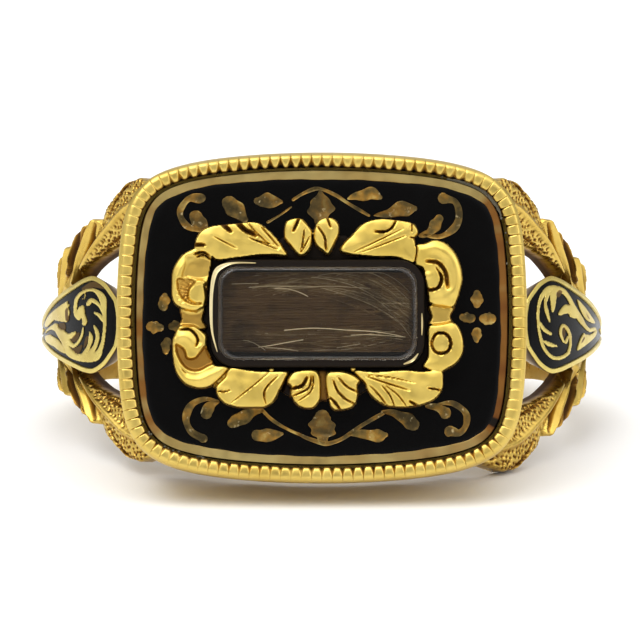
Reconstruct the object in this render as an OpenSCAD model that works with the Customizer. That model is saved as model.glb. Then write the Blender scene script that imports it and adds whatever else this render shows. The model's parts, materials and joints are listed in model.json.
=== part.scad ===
// Mourning ring: a gold hoop with split leaf shoulders, and a cushion-shaped head that holds an enamelled
// plaque, a carved scroll frame and a lock of hair under glass.
// Each module draws the ring upright: the finger hole runs along Z and the head faces -Y.
// laid_down() then rests it on its side, on the head's lower edge and the back of the hoop.

/* [Finger hole and hoop] */
// Radius of the finger hole
bore_r = 9; // [8.2:0.1:10]
// Thickness of the hoop at its back
hoop_t = 1.3; // [1:0.1:1.8]
// Width of the hoop at its back
hoop_w = 2.6; // [2.2:0.1:3.2]
// Width of the hoop at its sides, behind the leaves
side_w = 3.6; // [3.2:0.1:4]

/* [Leaf shoulders] */
// Height of the shoulders where they meet the head
shoulder_w = 11.2; // [10:0.1:11.6]
// Thickness of a leaf at its edges
leaf_t = 1.15; // [0.9:0.05:1.4]
// Rise of a leaf's back above its edges
leaf_crown = 0.3; // [0.1:0.05:0.45]
// Depth of the flutes between a leaf's lobes
flute_depth = 0.16; // [0.05:0.01:0.25]

/* [Shoulder panels] */
// Open gap between a shoulder panel at its widest and the leaves beside it
panel_gap = 0.23; // [0.1:0.01:0.5]
// Thickness of a shoulder panel, from the finger hole
panel_t = 1.95; // [1.75:0.05:2.2]
// Width of the gold border round a panel's enamel
panel_border = 0.2; // [0.12:0.02:0.3]
// Width of the prong that carries a panel to the head
prong_w = 2.2; // [1.6:0.1:2.8]
// Thickness of the prong, from the finger hole
prong_t = 1.45; // [1.2:0.05:1.6]

/* [Head] */
// Width of the head, across the finger
head_w = 15.5; // [14.6:0.1:16.4]
// Height of the head, along the finger
head_h = 12.5; // [12:0.1:13.4]
// Thickness of the head, from the finger hole to the top of its rim
head_t = 4.1; // [3.8:0.1:4.8]
// Squareness of the head's outline: 2 is an ellipse
head_power = 7; // [5:0.5:8]
// How far the head's upper and lower sides bow out at their middles
head_bow = 0.75; // [0.4:0.05:0.95]
// How far its left and right sides bow out
side_bow = 0.46; // [0.2:0.01:0.8]
// How far the box stands in from the rim
box_inset = 0.2; // [0.12:0.02:0.3]
// Thickness of the box's back plate
back_t = 0.6; // [0.4:0.05:0.8]
// Width of the ledge that carries the plaque
ledge_w = 0.5; // [0.3:0.05:0.8]

/* [Milled rim] */
// Width of the rim
rim_w = 0.53; // [0.46:0.01:0.64]
// Height of the rim
rim_h = 1.3; // [1:0.05:1.6]
// Number of notches round the rim
rim_notches = 124; // [60:2:130]
// Depth of a notch
notch_depth = 0.09; // [0.04:0.01:0.13]

/* [Plaque and enamel] */
// Open gap between the rim and the plaque
plaque_gap = 0.14; // [0.1:0.01:0.2]
// Width of the plaque's gold border
border_w = 0.27; // [0.2:0.01:0.4]
// How far the plaque lies below the top of the rim
plaque_drop = 0.35; // [0.2:0.05:0.6]
// Thickness of the plaque
plaque_t = 0.75; // [0.6:0.05:0.9]
// Thickness of the enamel, in the head and in the shoulders
enamel_t = 0.25; // [0.18:0.01:0.35]

/* [Glass and hair] */
// Width of the glass
glass_w = 7.65; // [7:0.05:8]
// Height of the glass
glass_h = 3.65; // [3.2:0.05:4]
// Thickness of the glass
glass_t = 1; // [0.8:0.05:1.3]
// Width of the bevel round the glass
glass_bevel = 0.38; // [0.2:0.02:0.5]
// Corner radius of the glass
glass_corner = 0.5; // [0.4:0.05:0.8]
// Thickness of the collet wall round the glass
collet_t = 0.13; // [0.1:0.01:0.18]
// Height of the collet above the plaque
collet_h = 0.7; // [0.5:0.05:0.9]
// Width of the seat that carries the glass
glass_seat = 0.2; // [0.14:0.02:0.3]
// Depth of the well that holds the hair, below the top of the plaque
well_depth = 1.35; // [1.1:0.05:1.6]
// Thickness of the well's walls and floor
well_wall = 0.35; // [0.25:0.05:0.5]

/* [Scroll frame] */
// Width of the scroll frame
frame_w = 11; // [10.4:0.1:11.6]
// Height of the scroll frame
frame_h = 7.26; // [6.8:0.02:7.6]
// Height of the frame's carving above the enamel
frame_rise = 1; // [0.8:0.05:1.2]
// Thickness of the frame's ground, under its carving
frame_ground = 0.35; // [0.25:0.05:0.45]
// Radius of the ground's corners
frame_corner = 0.8; // [0.5:0.05:1.1]
// Width of the band that curls round each scroll
scroll_wire = 0.62; // [0.5:0.02:0.7]
// Radius of the knob in each scroll
scroll_knob = 0.4; // [0.3:0.02:0.46]
// How far the frame and the glass stand left of the head's middle
frame_left = 0.16; // [0:0.02:0.2]
// How far the frame and the glass stand above the head's middle
frame_up = 0.11; // [0:0.01:0.2]

/* [Fits] */
// Gap between pieces that lie against each other
fit_gap = 0.03; // [0.02:0.005:0.05]
// Gap between the scroll frame and the collet
window_gap = 0.09; // [0.06:0.01:0.14]

/* [Hidden] */

// Fineness of true rounds, and points round the head's outline
$fn = 64;
outline_points = 120;

// Heights above the middle of the finger hole
rim_top = bore_r + head_t;
rim_base = rim_top - rim_h;
plaque_top = rim_top - plaque_drop;
plaque_base = plaque_top - plaque_t;
ledge_top = plaque_base - fit_gap;
field_floor = plaque_top - enamel_t;
frame_base = plaque_top + fit_gap;
glass_base = plaque_top + fit_gap;
well_base = plaque_top - well_depth;

// The box sinks past the finger hole, which then hollows its back
box_sink = 0.4;
box_back = bore_r - box_sink;
box_top = rim_base + 0.1;
cavity_floor = bore_r + back_t;

// Insets from the head's outline, and the wall between the box's outside and its pocket
pocket_inset = rim_w + plaque_gap / 2;
plaque_inset = rim_w + plaque_gap;
field_inset = plaque_inset + border_w;
cavity_inset = pocket_inset + ledge_w;

// The hole in the frame stands clear of the collet
collet_w = glass_w + 2 * (fit_gap + collet_t);
collet_z = glass_h + 2 * (fit_gap + collet_t);
collet_corner = glass_corner + fit_gap + collet_t;

// A cutting shape runs this far past what it cuts
past = 1;

// The shoulders begin inside the box at this angle, and the leaves join the hoop at the next
shoulder_start = 14;
leaf_join = 84;
leaf_end = 114;
// Turn between the flutes of a leaf, and how far they lean across it
flute_pitch = 12;
flute_lean = 22;
// Share of the hoop's thickness that is its straight edge
hoop_edge = 0.6;
hoop_crown = hoop_t * (1 - hoop_edge);
// The blank of the hoop reaches this far into the finger hole before it is bored, but its ends stay clear of it
bore_stock = 0.3;
end_clear = 0.1;
// Points across a leaf
leaf_points = 6;

// The leaves: angle from the head, then the outer and the inner edge as shares of half the shoulder's height
LEAF = [
    [14, 0.90, 0.66],
    [34, 0.93, 0.66],
    [39, 0.99, 0.62],
    [44, 1.00, 0.57],
    [49, 0.91, 0.52],
    [52, 0.78, 0.48],
    [55, 0.74, 0.44],
    [59, 0.74, 0.38],
    [63, 0.64, 0.33],
    [66, 0.55, 0.28],
    [70, 0.54, 0.22],
    [75, 0.49, 0.14],
    [78, 0.42, 0.08],
    [84, 0.43, 0.00],
    [89, 0.37, 0.00],
    [94, 0.36, 0.00],
    [100, 0.32, 0.00],
    [114, 0.20, 0.00]
];

// The panels: angle from the head, then the half height as a share of the panel's widest
PANEL = [
    [46, 0.50],
    [50, 0.76],
    [55, 0.99],
    [59, 1.00],
    [67, 0.89],
    [78, 0.72],
    [90, 0.52],
    [102, 0.25],
    [107, 0.05]
];
panel_turn = 74;
// The panels are widest at this angle, where the leaves' inner edges and the gap set their half height
panel_widest = 59;
panel_half = lookup(panel_widest, column(LEAF, 2)) * shoulder_w / 2 - panel_gap;

// The sprigs in the enamel, for one side: place across and along the head as shares of half its size, then
// length and width as shares of half its height, and the turn of the fat end
DROPS = [
    [0.22, 0.73, 0.19, 0.075, 15],
    [0.36, 0.64, 0.24, 0.10, 22],
    [0.57, 0.59, 0.17, 0.09, 48],
    [0.17, -0.72, 0.19, 0.085, -8],
    [0.34, -0.63, 0.22, 0.10, -32],
    [0.57, -0.57, 0.17, 0.09, -40],
    [0.76, 0.11, 0.14, 0.11, 90],
    [0.76, -0.11, 0.14, 0.09, -90],
    [0.705, 0.00, 0.11, 0.10, 180],
    [0.815, 0.00, 0.11, 0.10, 0]
];
// The hooks: place as above, radius and width as shares of half the head's height, and the turns they run between
HOOKS = [
    [0.615, 0.61, 0.10, 0.05, -100, 100],
    [0.615, -0.59, 0.10, 0.05, -100, 100]
];
// The two buds on the middle line: place along the head, then length and width, shares of half its height
BUDS = [
    [0.67, 0.17, 0.14, 90],
    [-0.67, 0.14, 0.14, 90]
];

// The carving of the frame: place as shares of half the frame, then length and width as shares of half its
// height, turn, and rise as a share of the frame's
CARVING = [
    [-0.58, 0.79, 0.98, 0.42, 188, 0.80],
    [0.43, 0.80, 0.84, 0.40, 14, 0.86],
    [-0.13, 0.83, 0.44, 0.34, 100, 1.00],
    [0.06, 0.85, 0.44, 0.34, 80, 1.00],
    [-0.46, -0.80, 1.00, 0.40, 170, 0.80],
    [0.55, -0.80, 1.06, 0.40, -10, 0.80],
    [-0.11, -0.81, 0.42, 0.40, 248, 0.92],
    [0.18, -0.81, 0.42, 0.40, -68, 0.92]
];
// The scrolls of the frame: place as above, radius as a share of half its height, and the turns they run between
SCROLLS = [
    [-0.83, 0.27, 0.235, 20, 290],
    [-0.85, -0.46, 0.225, 75, 340],
    [0.82, 0.39, 0.255, -110, 165],
    [0.84, -0.31, 0.235, -200, 110]
];

// The scroll of a shoulder panel: place along and across it, radius and width, as shares of its widest half height
PANEL_SCROLL = [-1.24, -0.13, 0.53, 0.075];
// Its leaflets: place, length and width as such shares, and turn
PANEL_LEAFLETS = [
    [-1.24, 0.03, 0.40, 0.14, 150],
    [-1.18, -0.24, 0.37, 0.14, 210],
    [-0.21, 0.24, 0.90, 0.18, -14],
    [-0.21, -0.21, 0.90, 0.18, 14],
    [0.84, 0, 1.05, 0.19, 0]
];

function mix(a, b, share) = a + (b - a) * share;
function limit(x, low, high) = min(max(x, low), high);
function ease(x) = let (t = limit(x, 0, 1)) t * t * (3 - 2 * t);
function column(table, n) = [for (row = table) [row[0], row[n]]];

// The head's cushion outline at a turn, and a point moved in from it by an inset along its normal
function outline_at(turn) =
    let (a = head_w / 2,
         b = head_h / 2,
         reach = pow(pow(abs(cos(turn)) / a, head_power) + pow(abs(sin(turn)) / b, head_power), -1 / head_power),
         x = reach * cos(turn),
         y = reach * sin(turn))
    [x * (1 - side_bow / a * pow(y / b, 2)), y * (1 - head_bow / b * pow(x / a, 2))];

function cushion_point(turn, inset) =
    let (along = outline_at(turn + 0.5) - outline_at(turn - 0.5))
    outline_at(turn) - inset * [along.y, -along.x] / norm(along);

// Turns at even distances along the outline
outline_lengths = [for (turn = 0, run = 0;
                        turn <= 360;
                        turn = turn + 1, run = run + norm(outline_at(turn) - outline_at(turn - 1)))
    [run, turn]];
function even_turns(count) =
    let (whole = outline_lengths[len(outline_lengths) - 1][0])
    [for (i = [0 : count - 1]) lookup(whole * i / count, outline_lengths)];

outline_turns = even_turns(outline_points);
function cushion(inset) = [for (turn = outline_turns) cushion_point(turn, inset)];

function rounded_rectangle(w, h, r, steps = 6) =
    [for (corner = [0 : 3], i = [0 : steps])
        let (turn = 90 * corner + 90 * i / steps,
             x = (corner == 0 || corner == 3 ? 1 : -1) * (w / 2 - r),
             y = (corner < 2 ? 1 : -1) * (h / 2 - r))
        [x + r * cos(turn), y + r * sin(turn)]];

// A leaf or drop, fat towards its turned end, with optional lobes along its edge
function drop(length, width, lobes = 0, depth = 0, steps = 14) =
    [for (i = [0 : steps - 1])
        let (t = 360 * i / steps)
        [length / 2 * cos(t), width / 2 * sin(t) * (1 + 0.45 * cos(t)) * (1 + depth * cos(lobes * t))]];

function placed(points, place, turn) =
    [for (p = points)
        [place.x + p.x * cos(turn) - p.y * sin(turn), place.y + p.x * sin(turn) + p.y * cos(turn)]];

function arc_band(r, width, from, to, steps = 10) =
    concat([for (i = [0 : steps]) let (t = mix(from, to, i / steps)) (r + width / 2) * [cos(t), sin(t)]],
           [for (i = [steps : -1 : 0]) let (t = mix(from, to, i / steps)) (r - width / 2) * [cos(t), sin(t)]]);

function triangles(quad) = [[quad[0], quad[1], quad[2]], [quad[0], quad[2], quad[3]]];

// Turns a drawing in the XY plane to face outwards from the finger hole at an angle from the head
module facing(angle = 0) {
    rotate([0, 0, angle]) rotate([90, 0, 0]) children();
}

module frame_place() {
    translate([-frame_left, frame_up, 0]) children();
}

module slab(points, from, to) {
    translate([0, 0, from]) linear_extrude(to - from) polygon(points);
}

// Angles of the hoop's sections, from one shoulder round the back to the other
shoulder_angles = [for (a = [shoulder_start : 2 : leaf_end - 2]) a];
back_angles = [for (a = [leaf_end : 6 : 180]) a];
half_angles = concat(shoulder_angles, back_angles);
hoop_angles = concat(half_angles, [for (i = [len(half_angles) - 1 : -1 : 0]) 360 - half_angles[i]]);

function folded(angle) = min(angle, 360 - angle);
function hoop_half(angle) = mix(side_w, hoop_w, ease((angle - 90) / 90)) / 2;
function leaf_outer(angle) = max(hoop_half(angle), lookup(angle, column(LEAF, 1)) * shoulder_w / 2);
function leaf_inner(angle) = angle >= leaf_join ? 0 : lookup(angle, column(LEAF, 2)) * shoulder_w / 2;

// The tilt at which the ring lies: on the lower edge of the hoop's back, and in front on the leaves or the box
back_y = bore_r + hoop_t * hoop_edge;
box_tilt = atan((head_h / 2 - box_inset - hoop_w / 2) / (back_y + box_back));
leaf_tilts = [for (a = shoulder_angles) atan((leaf_outer(a) - hoop_w / 2) / (back_y + bore_r * cos(a)))];
tilt = max(box_tilt, max(leaf_tilts));
lie_z = back_y * sin(tilt) + hoop_w / 2 * cos(tilt);
lie_y = (rim_top * cos(tilt) + head_h / 2 * sin(tilt) - (bore_r + hoop_t) * cos(tilt)) / 2;

module laid_down() {
    translate([0, lie_y, lie_z]) rotate([-tilt, 0, 0]) children();
}

// Height of the hoop's outside above the finger hole, where share runs from a leaf's inner edge to its outer
function hoop_height(angle, share) =
    let (join = ease((angle - leaf_join) / (leaf_end - leaf_join)),
         leaf = leaf_t + leaf_crown * sin(180 * share)
              + flute_depth * share * cos(360 * (angle + flute_lean * share) / flute_pitch),
         plain = hoop_t * hoop_edge + hoop_crown * (1 - share * share))
    mix(leaf, plain, join);

// One ring of points: the inner edge, the outside from the inner to the outer edge, and the outer edge
function hoop_ring(turn, half) =
    let (angle = folded(turn),
         low = leaf_inner(angle),
         high = leaf_outer(angle),
         stock = angle > shoulder_start ? bore_r - bore_stock : bore_r + end_clear,
         profile = concat([[stock, low]],
                          [for (k = [0 : leaf_points - 1])
                              let (share = k / (leaf_points - 1))
                              [bore_r + hoop_height(angle, share), mix(low, high, share)]],
                          [[stock, high]]))
    [for (p = profile) [p[0] * sin(turn), -p[0] * cos(turn), half * p[1]]];

module hoop_blank() {
    ring = leaf_points + 2;
    count = len(hoop_angles);
    points = [for (half = [1, -1], turn = hoop_angles) each hoop_ring(turn, half)];
    function at(half, i, k) = (half > 0 ? 0 : count * ring) + i * ring + k % ring;
    function wound(half, face) = half > 0 ? face : [face[2], face[1], face[0]];
    function open_wall(i) = min(folded(hoop_angles[i]), folded(hoop_angles[i + 1])) < leaf_join;
    skin = [for (half = [1, -1], i = [0 : count - 2], k = [0 : ring - 1])
        if (k > 0 || open_wall(i))
            each [for (face = triangles([at(half, i, k), at(half, i, k + 1),
                                         at(half, i + 1, k + 1), at(half, i + 1, k)]))
                wound(half, face)]];
    caps = [for (half = [1, -1], k = [1 : ring - 2])
        each [wound(half, [at(half, 0, 0), at(half, 0, k + 1), at(half, 0, k)]),
              wound(half, [at(half, count - 1, 0), at(half, count - 1, k), at(half, count - 1, k + 1)])]];
    polyhedron(points, concat(skin, caps));
}

panel_r = bore_r + panel_t;
panel_floor = panel_r - enamel_t;
// Half the height of a panel's inset outlines where they come to a point
panel_tip = 0.02;

// Outline of a panel in the plane that touches it, moved in by an inset
function panel_outline(inset) =
    let (edge = [for (row = PANEL)
            [limit(panel_r * sin(row[0] - panel_turn),
                   panel_r * sin(PANEL[0][0] - panel_turn) + inset,
                   panel_r * sin(PANEL[len(PANEL) - 1][0] - panel_turn) - inset),
             max(row[1] * panel_half - inset, panel_tip)]])
    concat(edge, [for (i = [len(edge) - 1 : -1 : 0]) [edge[i].x, -edge[i].y]]);

// Cuts a drawing in a panel's plane through the shell between two radii
module on_panel(from, to) {
    intersection() {
        facing(panel_turn) linear_extrude(panel_r + past) children();
        difference() {
            cylinder(r = to, h = shoulder_w, center = true);
            cylinder(r = from, h = shoulder_w + past, center = true);
        }
    }
}

module panel_scrolls(grow = 0) {
    scroll = panel_half * PANEL_SCROLL;
    more = 8 * sign(grow);
    translate([scroll[0], scroll[1]])
        polygon(arc_band(scroll[2], scroll[3] + 2 * grow, 40 - more, 320 + more));
    for (row = PANEL_LEAFLETS)
        polygon(placed(drop(row[2] * panel_half + 2 * grow, row[3] * panel_half + 2 * grow),
                       panel_half * [row[0], row[1]], row[4]));
}

module panel_body() {
    difference() {
        on_panel(bore_r - bore_stock, panel_r) polygon(panel_outline(0));
        on_panel(panel_floor, panel_r + past) difference() {
            polygon(panel_outline(panel_border));
            panel_scrolls();
        }
    }
    // The prong under the panel, from the box to the hoop
    rotate([0, 0, shoulder_start - 90]) rotate_extrude(angle = leaf_join - shoulder_start)
        translate([bore_r - bore_stock, -prong_w / 2]) square([prong_t + bore_stock, prong_w]);
}

module head_box() {
    facing() difference() {
        slab(cushion(box_inset), box_back, box_top);
        slab(cushion(pocket_inset), ledge_top, box_top + past);
        slab(cushion(cavity_inset), cavity_floor, ledge_top + past);
    }
}

// The rim's profile: inset from the head's outline, height below the rim's top, and how deep a notch bites there
RIM = [
    [0.00, 1.00, 0],
    [0.00, 0.34, 0.7],
    [0.34, 0.00, 1],
    [0.72, 0.02, 1],
    [1.00, 0.22, 0.6],
    [1.00, 1.00, 0]
];

module milled_rim() {
    turns = even_turns(2 * rim_notches);
    ring = len(RIM);
    points = [for (i = [0 : len(turns) - 1], row = RIM)
        let (bite = i % 2 * notch_depth * row[2],
             p = cushion_point(turns[i], row[0] * rim_w))
        [p.x, p.y, rim_top - row[1] * rim_h - bite]];
    function at(i, k) = (i % len(turns)) * ring + k % ring;
    facing() polyhedron(points, [for (i = [0 : len(turns) - 1], k = [0 : ring - 1])
        each triangles([at(i, k), at(i, k + 1), at(i + 1, k + 1), at(i + 1, k)])]);
}

module band() {
    color("goldenrod") laid_down() difference() {
        union() {
            hoop_blank();
            panel_body();
            mirror([1, 0, 0]) panel_body();
            head_box();
            milled_rim();
        }
        cylinder(r = bore_r, h = head_h + 2 * past, center = true);
    }
}

module sprigs(grow = 0) {
    half_w = head_w / 2;
    half_h = head_h / 2;
    for (side = [1, -1]) scale([side, 1]) {
        for (row = DROPS)
            polygon(placed(drop(row[2] * half_h + 2 * grow, row[3] * half_h + 2 * grow),
                           [row[0] * half_w, row[1] * half_h], row[4]));
        for (row = HOOKS)
            translate([row[0] * half_w, row[1] * half_h])
                polygon(arc_band(row[2] * half_h, row[3] * half_h + 2 * grow, row[4] - 9 * sign(grow),
                                 row[5] + 9 * sign(grow)));
    }
    for (row = BUDS)
        polygon(placed(drop(row[1] * half_h + 2 * grow, row[2] * half_h + 2 * grow), [0, row[0] * half_h], row[3]));
}

module plaque() {
    well_w = glass_w - 2 * glass_seat;
    well_h = glass_h - 2 * glass_seat;
    color("gold") laid_down() facing() difference() {
        union() {
            slab(cushion(plaque_inset), plaque_base, field_floor);
            difference() {
                slab(cushion(plaque_inset), field_floor, plaque_top);
                slab(cushion(field_inset), field_floor - past, plaque_top + past);
            }
            translate([0, 0, field_floor]) linear_extrude(enamel_t) sprigs();
            frame_place() slab(rounded_rectangle(collet_w, collet_z, collet_corner), field_floor - enamel_t,
                               plaque_top + collet_h);
            frame_place() slab(rounded_rectangle(well_w + 2 * well_wall, well_h + 2 * well_wall,
                                                 glass_corner + well_wall),
                               well_base - well_wall, field_floor - enamel_t);
        }
        frame_place() slab(rounded_rectangle(well_w, well_h, glass_corner), well_base,
                           plaque_top + collet_h + past);
        frame_place() slab(rounded_rectangle(glass_w + 2 * fit_gap, glass_h + 2 * fit_gap, glass_corner + fit_gap),
                           plaque_top, plaque_top + collet_h + past);
    }
}

module field_enamel() {
    color([0.03, 0.03, 0.035]) laid_down() facing() translate([0, 0, field_floor + fit_gap])
        linear_extrude(enamel_t - fit_gap) difference() {
            polygon(cushion(field_inset + fit_gap));
            sprigs(fit_gap);
            frame_place() polygon(rounded_rectangle(collet_w + 2 * fit_gap, collet_z + 2 * fit_gap,
                                                    collet_corner + fit_gap));
        }
}

// A low dome on an outline, whose foot is sunk into the ground that carries it
module dome(points, centre, foot, rise) {
    count = len(points);
    STEPS = [[1, 0], [1, 0.35], [0.72, 0.84]];
    rings = [for (step = STEPS, p = points)
        let (q = centre + step[0] * (p - centre))
        [q.x, q.y, mix(foot, rise, step[1])]];
    top = len(rings);
    walls = [for (s = [0 : len(STEPS) - 2], i = [0 : count - 1])
        each triangles([s * count + i, (s + 1) * count + i, (s + 1) * count + (i + 1) % count,
                        s * count + (i + 1) % count])];
    crown = [for (i = [0 : count - 1])
        [top - count + i, top, top - count + (i + 1) % count]];
    floor_fan = [for (i = [1 : count - 2]) [0, i, i + 1]];
    polyhedron(concat(rings, [[centre.x, centre.y, rise]]), concat(walls, crown, floor_fan));
}

module scroll_frame() {
    half_w = frame_w / 2;
    half_h = frame_h / 2;
    sunk = frame_base + frame_ground / 2;
    ground_top = frame_base + frame_ground;
    color("gold") laid_down() facing() frame_place() difference() {
        union() {
            slab(rounded_rectangle(0.93 * frame_w, 0.86 * frame_h, frame_corner), frame_base, ground_top);
            for (row = CARVING) {
                centre = [row[0] * half_w, row[1] * half_h];
                dome(placed(drop(row[2] * half_h, row[3] * half_h, 5, 0.06), centre, row[4]), centre, frame_base,
                     frame_base + row[5] * frame_rise);
            }
            for (row = SCROLLS)
                translate([row[0] * half_w, row[1] * half_h, 0]) {
                    rotate([0, 0, row[3]]) rotate_extrude(angle = row[4] - row[3])
                        translate([row[2] * half_h - scroll_wire / 2, frame_base])
                            square([scroll_wire, 0.82 * frame_rise]);
                    translate([0, 0, sunk]) cylinder(r = scroll_knob, h = 0.75 * frame_rise);
                }
        }
        slab(rounded_rectangle(collet_w + 2 * window_gap, collet_z + 2 * window_gap, collet_corner + window_gap),
             frame_base - past, frame_base + frame_rise + past);
    }
}

module crystal() {
    top = glass_base + glass_t;
    girdle = glass_base + 0.55 * glass_t;
    color([0.9, 0.95, 0.95, 0.4]) laid_down() facing() frame_place() hull() {
        slab(rounded_rectangle(glass_w, glass_h, glass_corner), glass_base, girdle);
        slab(rounded_rectangle(glass_w - 2 * glass_bevel, glass_h - 2 * glass_bevel, glass_corner), girdle, top);
    }
}

module hair() {
    base = well_base + fit_gap;
    pad_top = plaque_top - fit_gap;
    pad_w = glass_w - 2 * (glass_seat + fit_gap);
    pad_h = glass_h - 2 * (glass_seat + fit_gap);
    crown_r = 4 * pad_h;
    color([0.25, 0.2, 0.17]) laid_down() facing() frame_place() intersection() {
        slab(rounded_rectangle(pad_w, pad_h, glass_corner), base, pad_top);
        translate([0, 0, pad_top - crown_r]) rotate([0, 90, 0])
            cylinder(r = crown_r, h = pad_w + past, center = true);
    }
}

module shoulder_enamel() {
    color([0.03, 0.03, 0.035]) on_panel(panel_floor + fit_gap, panel_r - fit_gap) difference() {
        polygon(panel_outline(panel_border + fit_gap));
        panel_scrolls(fit_gap);
    }
}

module shoulder_enamel_right() {
    laid_down() shoulder_enamel();
}

module shoulder_enamel_left() {
    laid_down() mirror([1, 0, 0]) shoulder_enamel();
}

band();
plaque();
field_enamel();
scroll_frame();
crystal();
hair();
shoulder_enamel_right();
shoulder_enamel_left();
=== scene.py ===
"""Looks of the mourning ring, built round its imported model.

Shapes are drawn in the ring's own upright frame, in millimetres: u to the right, v along the finger, and w
out from the middle of the finger hole towards the head's front. place() turns them into metres where the ring
lies. Angles are degrees from the head round the finger hole.
"""
import json
import math
import random

import bmesh
import bpy
import numpy as np
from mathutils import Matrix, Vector


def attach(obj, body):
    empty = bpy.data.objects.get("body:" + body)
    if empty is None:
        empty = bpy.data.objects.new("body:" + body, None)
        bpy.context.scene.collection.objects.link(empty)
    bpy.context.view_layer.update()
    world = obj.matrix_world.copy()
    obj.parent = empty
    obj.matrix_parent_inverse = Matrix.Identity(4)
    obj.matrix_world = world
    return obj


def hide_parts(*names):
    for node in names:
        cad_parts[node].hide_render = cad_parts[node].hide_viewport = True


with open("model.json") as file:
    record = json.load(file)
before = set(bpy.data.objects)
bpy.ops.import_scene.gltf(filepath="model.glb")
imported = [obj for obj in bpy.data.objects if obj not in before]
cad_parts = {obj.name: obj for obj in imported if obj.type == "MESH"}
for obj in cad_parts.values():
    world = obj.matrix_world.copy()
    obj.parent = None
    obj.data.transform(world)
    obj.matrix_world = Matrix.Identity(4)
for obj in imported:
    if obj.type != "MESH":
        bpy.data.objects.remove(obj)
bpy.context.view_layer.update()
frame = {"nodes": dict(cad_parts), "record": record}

MM = 0.001
# A distance for points too far away to measure
FAR = 9.0
# The grid of a carved plate, and its least height
CELL = 0.036
THINNEST = 0.12
rng = random.Random(7)

finger = next(m for m in frame["record"]["mounts"] if m["name"] == "finger")
CENTRE = np.array(finger["pos_m"])
AXIS = np.array(finger["axis"])
RIGHT = np.array([1.0, 0.0, 0.0])
FRONT = np.cross(RIGHT, AXIS)
BORE_R = finger["dims"]["r_mm"]


def local_box(node):
    """Lowest and highest (u, v, w) of a CAD node."""
    mesh = frame["nodes"][node].data
    co = np.empty(3 * len(mesh.vertices))
    mesh.vertices.foreach_get("co", co)
    co = (co.reshape(-1, 3) - CENTRE) / MM
    local = np.stack([co @ RIGHT, co @ AXIS, co @ FRONT], axis=1)
    return local.min(0), local.max(0)


glass_low, glass_high = local_box("crystal")
hair_low, hair_high = local_box("hair")

RIM_TOP = local_box("band")[1][2]
PLAQUE_TOP = local_box("field_enamel")[1][2]
PLAQUE_BASE = RIM_TOP - 1.1
FRAME_TOP = local_box("scroll_frame")[1][2]
GLASS_MID = (glass_low + glass_high) / 2
GLASS_SIZE = glass_high - glass_low

# The head, as the part's source has it
HEAD_W = 15.5
HEAD_H = 12.5
HEAD_POWER = 7
HEAD_BOW = 0.75
SIDE_BOW = 0.46
BOX_INSET = 0.2
RIM_W = 0.53
RIM_H = 1.3
RIM_NOTCHES = 124
PLAQUE_INSET = 0.67
FIELD_INSET = 0.94
CAVITY_INSET = 1.1
CAVITY_FLOOR = 9.6
BOX_TOP = RIM_TOP - RIM_H + 0.1
BOX_BACK = 8.6
HOOP_T = 1.3
HOOP_W = 2.6
SIDE_W = 3.6
PANEL_R = 10.95
PANEL_FLOOR = 10.7


def place(points):
    """The ring's own (u, v, w) in millimetres to metres in the world."""
    p = np.asarray(points, float)
    return CENTRE + MM * (p[:, :1] * RIGHT + p[:, 1:2] * AXIS + p[:, 2:3] * FRONT)


def ease(x):
    """0 below 0 and 1 above 1, with a smooth rise between."""
    t = np.clip(x, 0, 1)
    return t * t * (3 - 2 * t)


def smooth_line(points, per=6, closed=True):
    """A curve through given points. A point given twice is a corner."""
    p = np.asarray(points, float)
    count = len(p)
    if closed:
        before, after, last = np.roll(p, 1, 0), np.roll(p, -1, 0), np.roll(p, -2, 0)
        spans = range(count)
    else:
        before = np.vstack([p[:1], p[:-1]])
        after = np.vstack([p[1:], p[-1:]])
        last = np.vstack([p[2:], p[-1:], p[-1:]])
        spans = range(count - 1)
    t = np.linspace(0, 1, per, endpoint=False)[:, None]
    parts = []
    for i in spans:
        a, b, c, d = before[i], p[i], after[i], last[i]
        parts.append(0.5 * (2 * b + (c - a) * t + (2 * a - 5 * b + 4 * c - d) * t**2
                            + (3 * b - a - 3 * c + d) * t**3))
    if not closed:
        parts.append(p[-1:])
    line = np.vstack(parts)
    keep = np.linalg.norm(np.diff(line, axis=0, append=line[:1] + 9), axis=1) > 1e-6
    return line[keep]


def left_of(along):
    """Unit vectors to the left of unit directions."""
    return np.stack([-along[:, 1], along[:, 0]], axis=1)


def headings(line, closed=True):
    """The unit direction of a line at each of its points."""
    along = np.roll(line, -1, 0) - np.roll(line, 1, 0) if closed else np.gradient(line, axis=0)
    return along / np.linalg.norm(along, axis=1)[:, None]


def run_along(line):
    """How far along a line each of its points is."""
    return np.concatenate([[0], np.cumsum(np.linalg.norm(np.diff(line, axis=0), axis=1))])


def resampled(line, count):
    """A closed line with its points at even distances."""
    whole = np.vstack([line, line[:1]])
    run = run_along(whole)
    at = np.linspace(0, run[-1], count, endpoint=False)
    return np.stack([np.interp(at, run, whole[:, k]) for k in range(whole.shape[1])], axis=1)


def head_outline():
    """The head's cushion outline with its outward normals, finely spaced. Its first point ends it too."""
    turn = np.linspace(0, 2 * math.pi, 7200, endpoint=False)
    a, b = HEAD_W / 2, HEAD_H / 2
    power = np.abs(np.cos(turn) / a)**HEAD_POWER + np.abs(np.sin(turn) / b)**HEAD_POWER
    reach = power**(-1 / HEAD_POWER)
    x, y = reach * np.cos(turn), reach * np.sin(turn)
    line = np.stack([x * (1 - SIDE_BOW / a * (y / b)**2), y * (1 - HEAD_BOW / b * (x / a)**2)], axis=1)
    both = np.hstack([line, -left_of(headings(line))])
    return np.vstack([both, both[:1]])


HEAD = head_outline()
HEAD_RUN = run_along(HEAD[:, :2])


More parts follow.
